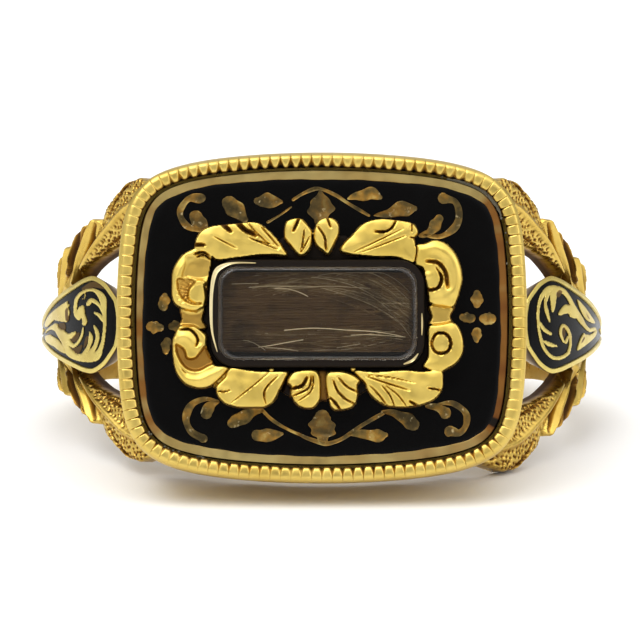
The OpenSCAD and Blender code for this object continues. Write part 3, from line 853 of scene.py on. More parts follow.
# Each panel's gold, drawn over the photograph enlarged from the pixel given as its corner. "middle" is the
# panel's middle line there, and "closer" a larger view of the same panel. Strokes have a path and widths,
# masses and stains a closed outline.
SHOULDER_PIXELS_PER_MM = 25.6
SHOULDER_MIDDLE_PX = 321
LEFT_LEAVES = {
    "corner": 40,
    "enlarged": 16.5,
    "middle": [(73, 713), (363, 742), (605, 769), (847, 803), (1331, 806)],
    "strokes": [],
    "masses": [
        [(72, 650), (85, 580), (160, 490), (300, 410), (440, 350), (478, 340), (482, 385), (515, 415),
         (485, 450), (515, 520), (490, 620), (460, 680), (410, 665), (330, 640), (240, 605), (180, 640),
         (110, 680)],
        [(78, 775), (100, 730), (160, 695), (240, 663), (300, 675), (325, 735), (385, 790), (410, 820),
         (440, 850), (430, 920), (470, 990), (500, 1060), (545, 1140), (600, 1200), (560, 1240),
         (500, 1200), (440, 1120), (390, 1030), (350, 950), (300, 860), (262, 792), (200, 752), (130, 752)],
        [(78, 850), (90, 815), (160, 815), (215, 855), (280, 905), (340, 965), (390, 1030), (430, 1100),
         (440, 1180), (400, 1170), (330, 1120), (250, 1045), (170, 985), (100, 920)]
    ],
    "stains": [[(440, 470), (490, 450), (500, 640), (455, 672), (440, 600)]]
}
LEFT_PANEL = {
    "corner": 40,
    "enlarged": 13.64,
    "closer": LEFT_LEAVES,
    "middle": [(60, 726), (300, 750), (500, 772), (700, 800), (1100, 803)],
    "strokes": [
        ([(560, 680), (512, 610), (508, 500), (530, 410), (590, 352), (680, 330), (780, 345), (870, 425),
         (900, 520), (908, 640), (918, 800), (905, 950), (880, 1080), (820, 1200), (740, 1240)], (60, 50,
         48, 52, 48, 38, 46, 85, 90, 62, 44, 44, 54, 90, 110)),
        ([(690, 515), (725, 475), (790, 500), (850, 560), (890, 640)], (60, 62, 50, 34, 30)),
        ([(775, 642), (840, 680), (900, 760)], (20, 44, 40)),
        ([(770, 815), (808, 900), (818, 980), (790, 1080), (720, 1190)], (16, 50, 56, 56, 90)),
        ([(710, 900), (724, 980), (700, 1080), (630, 1190)], (16, 60, 54, 80)),
        ([(618, 822), (600, 915), (545, 1005), (480, 1035), (420, 985), (375, 910)], (16, 34, 44, 52, 60,
         70)),
        ([(640, 350), (640, 420), (600, 440)], (10, 16, 10))
    ],
    "masses": [
        [(560, 530), (625, 528), (642, 640), (672, 750), (642, 800), (606, 770), (602, 690), (560, 708),
         (520, 670), (530, 600)],
        [(320, 780), (400, 852), (500, 845), (515, 870), (480, 930), (420, 935), (350, 900)],
        [(390, 1020), (450, 1090), (540, 1160), (620, 1160), (700, 1175), (770, 1195), (850, 1150),
         (885, 1180), (840, 1272), (760, 1302), (660, 1296), (540, 1252), (430, 1188), (360, 1095)]
    ],
    "stains": [
        [(590, 290), (700, 235), (800, 225), (880, 270), (900, 330), (760, 300), (640, 308)],
        [(260, 700), (350, 710), (360, 800), (300, 790)],
        [(440, 945), (510, 880), (560, 880), (540, 960), (480, 990)],
        [(430, 1040), (500, 1070), (600, 1050), (570, 1140), (520, 1150)],
        [(650, 960), (690, 960), (660, 1060), (620, 1090)]
    ]
}
RIGHT_PANEL = {
    "corner": 520,
    "enlarged": 13.64,
    "middle": [(100, 805), (430, 812), (620, 812), (850, 808), (1050, 780)],
    "strokes": [
        ([(620, 1170), (540, 1235), (430, 1262), (340, 1215), (262, 1110), (222, 980), (195, 830),
         (190, 650), (215, 500), (270, 395), (350, 335), (450, 328), (550, 358), (620, 435), (690, 560),
         (775, 690), (850, 785), (920, 825), (1000, 785)], (40, 46, 50, 46, 46, 42, 36, 36, 42, 62, 88, 88,
         72, 60, 70, 84, 56, 54, 40)),
        ([(545, 1030), (505, 930), (515, 850), (545, 812), (595, 850), (635, 940), (642, 1060),
         (615, 1170)], (30, 40, 40, 44, 48, 42, 36, 40)),
        ([(325, 400), (292, 520), (312, 640), (350, 770)], (60, 42, 50, 22)),
        ([(400, 390), (400, 520), (392, 630)], (100, 72, 28)),
        ([(215, 790), (275, 880), (365, 935)], (30, 52, 40)),
        ([(262, 1030), (350, 1078), (455, 1098)], (20, 60, 16)),
        ([(575, 1040), (610, 960)], (40, 30))
    ],
    "masses": [
        [(470, 662), (510, 590), (570, 530), (650, 530), (700, 600), (790, 705), (720, 705), (640, 690),
         (620, 650), (560, 655), (500, 682)],
        [(742, 442), (850, 530), (930, 612), (1005, 702), (940, 720), (860, 690), (790, 590)],
        [(740, 1130), (770, 1010), (830, 890), (865, 902), (950, 872), (1025, 790), (1010, 880), (920, 990),
         (820, 1082)]
    ],
    "stains": [
        [(430, 400), (480, 330), (530, 360), (480, 440)],
        [(520, 850), (560, 830), (575, 900), (555, 990), (520, 930)],
        [(850, 590), (930, 680), (890, 680)],
        [(790, 1010), (830, 930), (850, 960), (800, 1040)]
    ]
}
# Plain leaves behind, where the photograph doesn't reach: a path of (angle, v), and widths
PANEL_TAIL = [([(83.5, 0.0), (88.5, 0.0), (96, 0.0)], (0.12, 0.26, 0.05))]


def bent(part, side):
    """A part drawn flat as (arc, v, radius) and bent round the finger hole."""
    p, faces = part
    turn = p[:, 0] / PANEL_R
    return np.stack([side * p[:, 2] * np.sin(turn), p[:, 1], p[:, 2] * np.cos(turn)], axis=1), faces


def flat(points):
    """(angle, v) to (arc, v) on the panels' surface."""
    p = np.asarray(points, float)
    return np.stack([np.radians(p[:, 0]) * PANEL_R, p[:, 1]], axis=1)


def panel_outline(inset):
    """Upper edge from the head backwards, then the lower edge forwards, at matching angles."""
    rows = smooth_line(PANEL_ROWS, 8, closed=False)
    upper = flat(rows * [1, PANEL_HALF])
    nose = np.linspace(0.25, 0.85, 4)
    upper = np.vstack([[upper[0] * [1, k] for k in nose], upper])
    upper[:4, 0] -= 0.18 * (1 - nose**2)
    return shrunk(np.vstack([upper, (upper * [1, -1])[::-1]]), inset)


def laddered(rows):
    """A closed solid on the panel's outline, from rows of inset and radius.

    Its two end caps are ladders of quads, so they follow the bend."""
    rings = [level(panel_outline(inset), radius) for inset, radius in rows]
    points, faces = loft(rings)
    cols = len(rings[0])
    for start in (0, (len(rings) - 1) * cols):
        for i in range(cols // 2 - 1):
            faces.append((start + i, start + i + 1, start + cols - 2 - i, start + cols - 1 - i))
    return points, faces


def from_photo(outline, view):
    """A closed outline over the enlarged photograph, as (arc, v) on the panel."""
    p = np.asarray(outline, float)
    enlarged = view["enlarged"]
    across = np.abs(view["corner"] + p[:, 0] / enlarged - SHOULDER_MIDDLE_PX) / SHOULDER_PIXELS_PER_MM
    angle = np.arcsin(np.minimum(across / PANEL_R, 0.988))
    middle = np.interp(p[:, 0], *np.array(view["middle"]).T)
    return np.stack([angle * PANEL_R, (middle - p[:, 1]) / (enlarged * SHOULDER_PIXELS_PER_MM)], axis=1)


def deepest(points, shapes):
    """How far inside any of the shapes each point is."""
    return np.maximum.reduce([depth_in(points, shape) for shape in shapes])


def panel_gold_work(view):
    """The gold left standing in a panel's enamel, and the lower stained patches between."""
    shapes = [ribbon(flat(path), widths, 10) for path, widths in PANEL_TAIL]
    stains = []
    for part in [view, view["closer"]] if "closer" in view else [view]:
        shapes += [from_photo(ribbon(path, widths), part) for path, widths in part["strokes"]]
        shapes += [from_photo(smooth_line(outline, 5), part) for outline in part["masses"]]
        stains += [from_photo(smooth_line(outline, 5), part) for outline in part["stains"]]
    within = panel_outline(PANEL_BORDER - 0.02)

    def edge_of(points):
        standing = deepest(points, shapes)
        either = np.maximum(standing, deepest(points, stains))
        return np.minimum(either, depth_in(points, within)), standing

    def height_of(points, standing):
        low = PANEL_R - 0.03 - PANEL_FLOOR
        high = PANEL_R - 0.005 - PANEL_FLOOR - 0.03 * (1 - rounded(standing / 0.05))
        stained = 0.7 * ease(deepest(points, stains) / 0.06)
        return np.where(standing > 0, high, low), np.maximum(np.where(standing > 0, 0.0, 0.8), stained)

    low, high = [(math.radians(angle) * PANEL_R, v) for angle, v in ((46, -PANEL_HALF), (98, PANEL_HALF))]
    return relief(low, high, edge_of, height_of, PANEL_FLOOR, PANEL_R)


def prong(side):
    """The bar behind a panel that joins it to the head and the hoop."""
    rings = []
    for t in np.radians(np.linspace(LEAF_START, LEAF_JOIN + 4, 40)):
        half = 1.1 - 0.8 * ease((math.degrees(t) - 64) / 20)
        lower = [(BORE_R + 0.03, -half), (BORE_R + 1.35, -half), (BORE_R + 1.45, 0.1 - half)]
        section = lower + [(r, -v) for r, v in reversed(lower)]
        rings.append([[side * r * math.sin(t), v, r * math.cos(t)] for r, v in section])
    return capped(np.array(rings))


def panel(side, view, suffix):
    """One shoulder's panel: its body with a sunk field, its gold work and its enamel."""
    e = 0.05
    rows = [(0.35, BORE_R + PANEL_BACK), (0, PANEL_R - e), (0.3 * e, PANEL_R - 0.3 * e), (e, PANEL_R),
            (PANEL_BORDER - 0.03, PANEL_R), (PANEL_BORDER, PANEL_R - 0.04),
            (PANEL_BORDER + 0.01, PANEL_FLOOR)]
    body, bar = laddered(rows), prong(side)
    work, work_recess = panel_gold_work(view)
    # The panel's side wall is marked dark, darkest at its top: painted shade
    row_marks = np.repeat([0.3, 0.85, 0.0, 0.0, 0.0, 0.0, 0.0], len(body[0]) // len(rows))
    recess = np.concatenate([row_marks, np.full(len(bar[0]), 0.3), work_recess])
    parts = [bent(body, side), bar, bent(work, side)]
    piece("panel_" + suffix, parts, panel_gold, None, recess)
    sunk = PANEL_BORDER + 0.012
    glaze = laddered([(sunk, PANEL_FLOOR + 0.01), (sunk, PANEL_R - 0.06),
                      (PANEL_BORDER + 0.08, PANEL_R - 0.045)])
    node = "shoulder_enamel_" + suffix
    piece("panel_enamel_" + suffix, [bent(glaze, side)], shoulder_black, node)


panel_gold = gold("panel_gold", (0.66, 0.53, 0.155), (0.53, 0.40, 0.105), (0.03, 0.014, 0.004), 0.3)
panel(1, RIGHT_PANEL, "right")
panel(-1, LEFT_PANEL, "left")


# The plaque, its enamel and the sprigs left in the gold

SPRIG_PROUD = 0.016
# The sprigs' strokes: a path from the head's middle, and widths
SPRIGS = [
    ([(-1.09, 4.45), (-0.6, 4.74), (-0.11, 4.87), (0.5, 4.64), (1.08, 4.26), (1.78, 3.85)], (0.1, 0.13,
     0.14, 0.14, 0.14, 0.1)),
    ([(-0.05, 4.78), (-0.05, 4.6), (-0.05, 4.3), (-0.05, 4.0), (-0.05, 3.7)], (0.1, 0.4, 0.86, 0.92, 0.5)),
    ([(1.0, 4.5), (1.35, 4.6), (1.85, 4.66), (2.2, 4.54)], (0.08, 0.36, 0.5, 0.18)),
    ([(2.0, 3.86), (2.5, 3.93), (3.1, 4.1), (3.5, 4.12)], (0.08, 0.32, 0.56, 0.22)),
    ([(3.72, 3.1), (4.05, 3.2), (4.28, 3.5), (4.42, 3.72)], (0.14, 0.28, 0.46, 0.36)),
    ([(3.9, 3.1), (4.5, 3.08), (4.98, 3.36), (5.2, 3.88), (5.02, 4.36), (4.6, 4.5)], (0.12, 0.2, 0.27, 0.26,
     0.24, 0.44)),
    ([(-4.6, 4.52), (-5.05, 4.48), (-5.34, 4.1), (-5.28, 3.68), (-4.95, 3.4), (-4.4, 3.26)], (0.44, 0.26,
     0.24, 0.26, 0.24, 0.1)),
    ([(-4.78, 3.78), (-4.6, 3.56), (-4.35, 3.3)], (0.52, 0.5, 0.2)),
    ([(-3.5, 4.28), (-3.22, 4.02), (-2.9, 3.72)], (0.62, 0.62, 0.26)),
    ([(-2.42, 4.42), (-2.05, 4.4), (-1.55, 4.36)], (0.3, 0.6, 0.16)),
    ([(-1.15, 4.18), (-1.6, 3.86), (-2.05, 3.6)], (0.06, 0.08, 0.1)),
    ([(-5.93, 0.82), (-5.94, 0.62), (-5.97, 0.42)], (0.22, 0.42, 0.36)),
    ([(-6.46, -0.36), (-6.32, -0.37), (-6.14, -0.38)], (0.36, 0.5, 0.36)),
    ([(-5.66, -0.34), (-5.5, -0.34), (-5.4, -0.34)], (0.3, 0.44, 0.3)),
    ([(-5.86, -0.92), (-5.88, -1.08), (-5.88, -1.28)], (0.34, 0.4, 0.24)),
    ([(5.86, 0.9), (5.86, 0.72), (5.86, 0.5)], (0.28, 0.46, 0.3)),
    ([(5.34, 0.0), (5.48, -0.01), (5.64, -0.02)], (0.3, 0.42, 0.34)),
    ([(6.12, -0.04), (6.28, -0.05), (6.42, -0.04)], (0.36, 0.46, 0.34)),
    ([(5.85, -0.54), (5.86, -0.68), (5.86, -0.86)], (0.32, 0.38, 0.2)),
    ([(-0.92, -4.38), (-0.4, -4.62), (0.1, -4.76), (0.55, -4.68), (1.08, -4.38), (1.78, -3.92),
     (2.42, -3.58)], (0.1, 0.14, 0.16, 0.16, 0.16, 0.15, 0.14)),
    ([(0.03, -3.74), (0.03, -3.9), (0.03, -4.14), (0.03, -4.38), (0.03, -4.54)], (0.5, 0.84, 0.94, 0.84,
     0.5)),
    ([(2.3, -3.56), (2.8, -3.62), (3.2, -3.85), (3.45, -4.06)], (0.12, 0.3, 0.5, 0.46)),
    ([(1.0, -4.42), (1.5, -4.4), (2.05, -4.47), (2.4, -4.44)], (0.1, 0.34, 0.52, 0.2)),
    ([(-2.26, -3.51), (-2.65, -3.62), (-3.05, -3.85), (-3.4, -4.0)], (0.12, 0.34, 0.56, 0.34)),
    ([(-2.26, -3.51), (-1.95, -3.8), (-1.54, -4.09), (-0.86, -4.42)], (0.13, 0.13, 0.13, 0.1)),
    ([(-2.45, -4.44), (-2.1, -4.44), (-1.5, -4.4)], (0.4, 0.5, 0.12)),
    ([(-3.92, -3.17), (-4.45, -3.1), (-4.9, -3.3), (-5.14, -3.8), (-4.92, -4.32), (-4.5, -4.56)], (0.1,
     0.18, 0.26, 0.28, 0.26, 0.4)),
    ([(-3.95, -3.2), (-4.2, -3.35), (-4.36, -3.62)], (0.18, 0.36, 0.44)),
    ([(3.97, -3.36), (4.35, -3.4), (4.66, -3.62)], (0.14, 0.28, 0.44)),
    ([(4.4, -3.28), (4.95, -3.26), (5.4, -3.58), (5.48, -4.02), (5.2, -4.36), (4.84, -4.3)], (0.1, 0.2,
     0.25, 0.25, 0.24, 0.42))
]


GLASS_CORNER = 0.75


def by_turn(line, count):
    """A closed line's points at even distances, starting at the right and running anticlockwise."""
    line = resampled(line, count * 4)
    turn = np.arctan2(line[:, 1] - line[:, 1].mean(), line[:, 0] - line[:, 0].mean())
    start = int(np.argmin(np.abs(turn)))
    return np.roll(line, -start, 0)[::4]


def window_outline(grow, count=240):
    """The collet's outline, grown by a distance."""
    w, h = GLASS_SIZE[0] + 2 * grow, GLASS_SIZE[1] + 2 * grow
    return by_turn(rounded_rectangle(w, h, GLASS_CORNER + grow) + GLASS_MID[:2], count)


# Bright strips on the collet's edge where it is lit, painted highlights: beside the glass on the left, and
# in two spots on the right
COLLET_HIGHLIGHTS = [
    ([(-2.5, 2.01), (-3.3, 2.01), (-3.83, 1.84), (-4.05, 1.53), (-4.15, 0.88), (-4.17, 0.07),
     (-4.12, -0.64), (-3.94, -1.33)], (0.03, 0.07, 0.18, 0.17, 0.13, 0.12, 0.08, 0.03)),
    ([(3.77, 0.1), (3.78, -0.28), (3.77, -0.7)], (0.03, 0.07, 0.03)),
    ([(3.62, -1.42), (3.42, -1.66), (3.1, -1.8)], (0.04, 0.1, 0.05))
]


def windows(rows):
    """Rings on the collet's outline, from rows of growth and height."""
    return [level(window_outline(grow), w) for grow, w in rows]


def plaque_border():
    """The plaque's gold edge, wavy inside, with its marks: tarnished and in painted shade beside and towards
    the lower right, paler at the left, and in painted shade down its walls.
    """
    count = 720
    turn = np.arange(count) / count * 2 * math.pi
    beside = ease((np.abs(np.cos(turn)) - 0.72) / 0.12)
    wave = 0.02 * np.sin(turn * 5 + 0.5) + 0.012 * np.sin(turn * 17) + 0.008 * np.sin(turn * 43 + 2)
    inner = FIELD_INSET + 0.07 - 0.02 * beside + wave
    outer = PLAQUE_INSET + 0.05 * beside
    top = PLAQUE_TOP + 0.02
    rings = cushions(count, [
        (PLAQUE_INSET, PLAQUE_BASE), (PLAQUE_INSET, top - 0.25), (outer, top - 0.05),
        (outer + 0.012, top - 0.02), (outer + 0.035, top), (inner - 0.02, top - 0.004), (inner, top - 0.018),
        (inner + 0.005, PLAQUE_TOP - 0.3), (1.25, PLAQUE_TOP - 0.3), (1.25, PLAQUE_BASE)])
    # Darker beside, more so on the right and at the lower right, paler at the left: tarnished metal and
    # painted shade
    paler_left = np.exp(-((turn - 2.75) / 0.3)**2)
    lower_right = ease((-np.sin(turn) - 0.2) / 0.3) * ease((np.cos(turn) - 0.1) / 0.4)
    tarnish_and_shade = (0.55 + 0.22 * ease(np.cos(turn))) * beside * (1 - 0.75 * paler_left) + 0.3 * lower_right
    # The walls are marked dark: painted shade, as in the gap by the rim
    marks = np.repeat([1.0, 1.0, 0.6, 0.0, 0.0, 0.0, 0.0, 1.0, 1.0, 1.0], count)
    marks += np.tile(tarnish_and_shade * (0.8 + 0.3 * np.sin(turn * 9 + 1) * np.sin(turn * 31)), len(rings))
    return loft(rings, wrapped=True), marks


def plaque():
    """The gold plate with its border, and the collet that holds the glass over the hair's well."""
    lip_top = glass_high[2] - 0.04
    # Bright strips of gold on the collet's edge: painted highlights
    edge = [stroke(path, widths, lip_top - 0.05, lip_top + 0.03) for path, widths in COLLET_HIGHLIGHTS]
    piece("collet_highlight", edge, collet_gold, None)
    border, marks = plaque_border()
    piece("plaque_border", [border], plaque_gold, "plaque", marks, sharp=30)
    plate_line = by_turn(cushion(1.3, 720), 240)
    low, high = PLAQUE_BASE, PLAQUE_TOP - 0.28
    plate_rings = [level(plate_line, low), level(plate_line, high), *windows([(0.1, high), (0.1, low)])]
    plate = loft(plate_rings, wrapped=True)
    seat = -0.2
    floor_line = seat + 0.35
    well_base = hair_low[2] - 0.03
    collet = loft(windows([
        (0.2, PLAQUE_BASE), (0.2, lip_top - 0.06), (0.15, lip_top), (-0.05, lip_top), (-0.07, lip_top - 0.03),
        (-0.06, lip_top - 0.05), (0.03, lip_top - 0.08), (0.03, PLAQUE_TOP), (seat, PLAQUE_TOP - 0.005),
        (seat, well_base), (floor_line, well_base), (floor_line, PLAQUE_BASE)]), wrapped=True)
    # The collet, the plate and the well's floor are marked dark to near black: painted shade, and tarnished
    # metal
    collet_marks = np.repeat([1, 1, 1, 1, 1, 1, 1, 0.84, 0.8, 0.9, 1, 1], 240)
    floor_part = capped(windows([(floor_line, well_base - 0.35), (floor_line, well_base)]))
    piece("collet", [plate, collet, floor_part], collet_gold, None,
          np.concatenate([np.full(len(plate[0]), 0.9), collet_marks, np.full(len(floor_part[0]), 1.0)]))


def sprigs():
    """The sprigs of gold left standing in the plaque's enamel."""
    parts, marks = [], []
    for path, widths in SPRIGS:
        part = stroke(path, widths, PLAQUE_TOP - 0.2, PLAQUE_TOP + SPRIG_PROUD, 0.22)
        tone = 0.6 if max(widths) > 0.8 else rng.uniform(0.0, 0.55)
        parts.append(part)
        # The marks darken each stroke's sides, painted shade, and make its edges paler than its middle, which
        # has a tone of its own
        marks.append(np.tile([0.8, 0.5, 0.1, tone, tone, 0.1, 0.5, 0.8], len(part[0]) // 8))
    piece("sprigs", parts, motif_gold, None, np.concatenate(marks), sharp=60)


def field():
    """The plaque's black enamel, from its border in to the collet."""
    count = 480
    hole = window_outline(0.17, count)
    rim_line, outer = [by_turn(cushion(FIELD_INSET + grow, 4 * count), count) for grow in (-0.08, 0.08)]
    rows = [(hole, 0.24), (rim_line, 0.24), (rim_line, 0.03), (outer, 0.004)]
    rings = [level(line, PLAQUE_TOP - drop) for line, drop in rows]
    rings += [level(outer * (1 - share) + hole * share, PLAQUE_TOP) for share in np.linspace(0, 1, 9)[1:]]
    piece("field_enamel_glaze", [loft(rings, wrapped=True)], field_black, "field_enamel")


# Pale gold, bright on the strips of painted highlight along the collet's edge
collet_gold = gold("collet_gold", (0.88, 0.76, 0.44), (0.70, 0.55, 0.26), (0.02, 0.014, 0.008), 0.34)
plaque()
sprigs()
field()


# The scroll frame

# Its leaves and scrolls, from the head's middle: a closed outline, the heights of its edge and its crown
# above the plaque, and how far in from the edge it keeps rising
CARVING = {
    "top_left_leaf": ([(-3.9, 2.12), (-3.0, 2.22), (-2.4, 2.3), (-1.75, 2.32), (-1.32, 2.3), (-1.49, 2.65),
        (-1.76, 3.04), (-2.22, 3.46), (-2.60, 3.58), (-3.22, 3.53), (-4.07, 3.44), (-4.5, 3.28),
        (-4.72, 3.02), (-4.80, 2.75), (-4.78, 2.42), (-4.22, 2.3)], 0.55, 0.95, 0.55),
    "upper_left_scroll": ([(-4.72, 2.6), (-5.0, 2.5), (-5.28, 2.33), (-5.52, 2.01), (-5.66, 1.65),
        (-5.68, 1.18), (-5.66, 0.74), (-5.54, 0.46), (-5.28, 0.3), (-4.8, 0.2), (-4.53, 0.32),
        (-4.35, 0.46), (-4.29, 1.02), (-4.25, 1.5), (-4.15, 2.1), (-4.2, 2.5)], 0.5, 0.95, 0.38),
    "left_neck": ([(-5.32, 0.4), (-5.3, -0.09), (-5.4, -0.42), (-4.37, -0.46), (-4.5, -0.1), (-4.45, 0.4)],
        0.3, 0.6, 0.3),
    "lower_left_scroll": ([(-5.44, -0.41), (-5.2, -0.31), (-4.88, -0.33), (-4.57, -0.49), (-4.33, -0.71),
        (-4.33, -1.11), (-4.17, -1.5), (-4.01, -1.82), (-3.69, -1.84), (-3.51, -1.96), (-3.69, -2.26),
        (-4.01, -2.54), (-4.33, -2.69), (-4.69, -2.71), (-5.12, -2.58), (-5.4, -2.3), (-5.56, -1.94),
        (-5.64, -1.42), (-5.65, -0.91), (-5.56, -0.67)], 0.5, 0.92, 0.32),
    "lower_left_end": ([(-3.6, -1.9), (-3.3, -1.95), (-3.3, -2.4), (-3.6, -2.7), (-4.1, -2.65),
        (-3.9, -2.3)], 0.4, 0.66, 0.2),
    "lower_left_leaf": ([(-3.97, -2.62), (-3.98, -2.89), (-3.84, -3.12), (-3.61, -3.31), (-3.22, -3.42),
        (-2.65, -3.45), (-2.14, -3.42), (-1.76, -3.16), (-1.56, -2.72), (-1.3, -2.2), (-1.4, -2.06),
        (-2.0, -2.06), (-2.65, -2.02), (-3.45, -1.92), (-3.66, -2.3)], 0.6, 0.92, 0.5),
    "bottom_left_shell": ([(-1.02, -2.08), (-1.3, -2.46), (-1.16, -2.62), (-1.16, -2.97), (-1.0, -3.28),
        (-0.72, -3.45), (-0.37, -3.47), (-0.14, -3.28), (-0.05, -2.93), (-0.18, -2.08)], 0.55, 0.98, 0.4),
    "bottom_middle": ([(-0.2, -2.1), (0.24, -2.1), (0.24, -3.08), (0.05, -3.16), (-0.14, -3.08)], 0.25, 0.5,
        0.2),
    "bottom_right_shell": ([(0.16, -2.22), (0.55, -2.06), (1.06, -2.15), (1.42, -2.4), (1.34, -2.6),
        (1.36, -3.04), (1.22, -3.37), (0.88, -3.52), (0.41, -3.5), (0.24, -3.08)], 0.55, 0.98, 0.4),
    "lower_right_leaf": ([(1.25, -2.02), (2.06, -2.07), (3.08, -2.0), (3.70, -2.05), (4.5, -2.05),
        (4.58, -2.42), (4.54, -2.78), (4.25, -3.13), (3.70, -3.36), (3.05, -3.43), (2.42, -3.37),
        (1.98, -3.11), (1.74, -2.85), (1.62, -2.5), (1.36, -2.25)], 0.6, 0.92, 0.5),
    "lower_right_scroll": ([(4.02, -0.38), (4.44, -0.23), (4.98, -0.22), (5.22, -0.48), (5.35, -0.95),
        (5.32, -1.39), (5.09, -1.75), (4.73, -1.98), (4.4, -2.12), (3.82, -1.9), (3.98, -1.54),
        (4.0, -1.02)], 0.5, 0.9, 0.36),
    "right_neck": ([(4.05, 0.45), (4.12, 0.0), (4.05, -0.3), (4.95, -0.28), (4.86, 0.02), (5.0, 0.45)], 0.3,
        0.6, 0.3),
    "upper_right_scroll": ([(3.5, 1.98), (3.52, 2.66), (3.89, 2.78), (4.2, 2.9), (4.55, 2.85), (4.91, 2.6),
        (5.16, 2.2), (5.29, 1.77), (5.32, 1.35), (5.22, 0.96), (5.12, 0.63), (4.95, 0.36), (4.6, 0.36),
        (4.07, 0.5), (4.0, 0.8), (3.92, 1.25), (3.8, 1.8)], 0.5, 0.95, 0.42),
    "top_right_leaf": ([(0.70, 2.55), (1.06, 2.35), (2.06, 2.24), (2.79, 2.22), (3.48, 2.02), (3.56, 2.57),
        (3.52, 2.97), (3.64, 3.12), (3.59, 3.38), (3.37, 3.56), (2.79, 3.66), (2.24, 3.70), (1.83, 3.63),
        (1.47, 3.46), (1.14, 3.10)], 0.55, 0.95, 0.6),
    "top_left_bud": ([(-1.38, 3.54), (-1.14, 3.69), (-0.80, 3.72), (-0.6, 3.55), (-0.42, 3.32),
        (-0.37, 3.1), (-0.45, 2.57), (-0.80, 2.3), (-1.18, 2.69), (-1.42, 3.04)], 0.55, 1.0, 0.42),
    "top_right_bud": ([(-0.28, 3.27), (-0.2, 3.56), (0.08, 3.73), (0.41, 3.72), (0.63, 3.52), (0.67, 3.2),
        (0.52, 2.86), (0.26, 2.36), (0.08, 2.46), (-0.16, 2.65), (-0.3, 2.95)], 0.55, 1.0, 0.42),
    "top_ground": ([(-1.75, 2.2), (-1.6, 2.9), (-1.2, 3.1), (-0.6, 3.3), (0.0, 3.3), (0.6, 3.1), (1.0, 3.0),
        (1.3, 2.2)], 0.3, 0.42, 0.2),
    "bottom_ground": ([(-1.9, -2.1), (-1.4, -2.9), (-0.6, -3.1), (0.5, -3.1), (1.5, -2.9), (1.9, -2.1)],
        0.3, 0.42, 0.2)
}
# Hollows sunk into the scrolls: outline, height of their floor, and how brown they are marked: painted
# shade, with dirt
HOLLOWS = [
    ([(-5.1, 2.3), (-4.6, 2.3), (-4.16, 2.1), (-4.2, 1.53), (-4.57, 1.37), (-4.95, 1.42), (-5.3, 1.46),
     (-5.2, 1.9)], 0.84, 0.3),
    ([(-5.48, 1.42), (-5.2, 1.46), (-4.88, 1.42), (-4.73, 1.26), (-4.96, 1.02), (-4.98, 0.7), (-4.73, 0.54),
     (-4.53, 0.56), (-4.53, 0.42), (-4.92, 0.44), (-5.28, 0.66), (-5.46, 1.05)], 0.78, 0.45),
    ([(-4.45, 1.22), (-4.2, 1.2), (-4.2, 0.5), (-4.45, 0.38), (-4.4, 0.7)], 0.6, 0.75),
    ([(-5.4, 0.3), (-5.0, 0.16), (-4.6, 0.2), (-4.3, 0.4), (-4.3, -0.6), (-4.7, -0.4), (-5.4, -0.3)], 0.56,
     0.42),
    ([(-5.52, -1.01), (-5.24, -1.15), (-5.12, -1.3), (-5.04, -1.54), (-4.8, -1.54), (-4.63, -1.36),
     (-4.39, -1.1), (-4.22, -1.5), (-4.02, -1.74), (-4.33, -1.92), (-4.61, -2.06), (-4.92, -2.06),
     (-5.2, -1.9), (-5.42, -1.58), (-5.52, -1.3)], 0.66, 0.58),
    ([(4.02, 0.4), (4.95, 0.3), (4.9, -0.2), (4.02, -0.3)], 0.58, 0.25)
]
# Knobs in the scrolls: their middle, radius, and height above the plaque
KNOBS = [
    (-4.7, 0.9, 0.25, 0.9),
    (4.07, 1.55, 0.32, 0.95),
    (4.49, -1.02, 0.24, 0.88),
    (-4.89, -1.36, 0.15, 0.9)
]
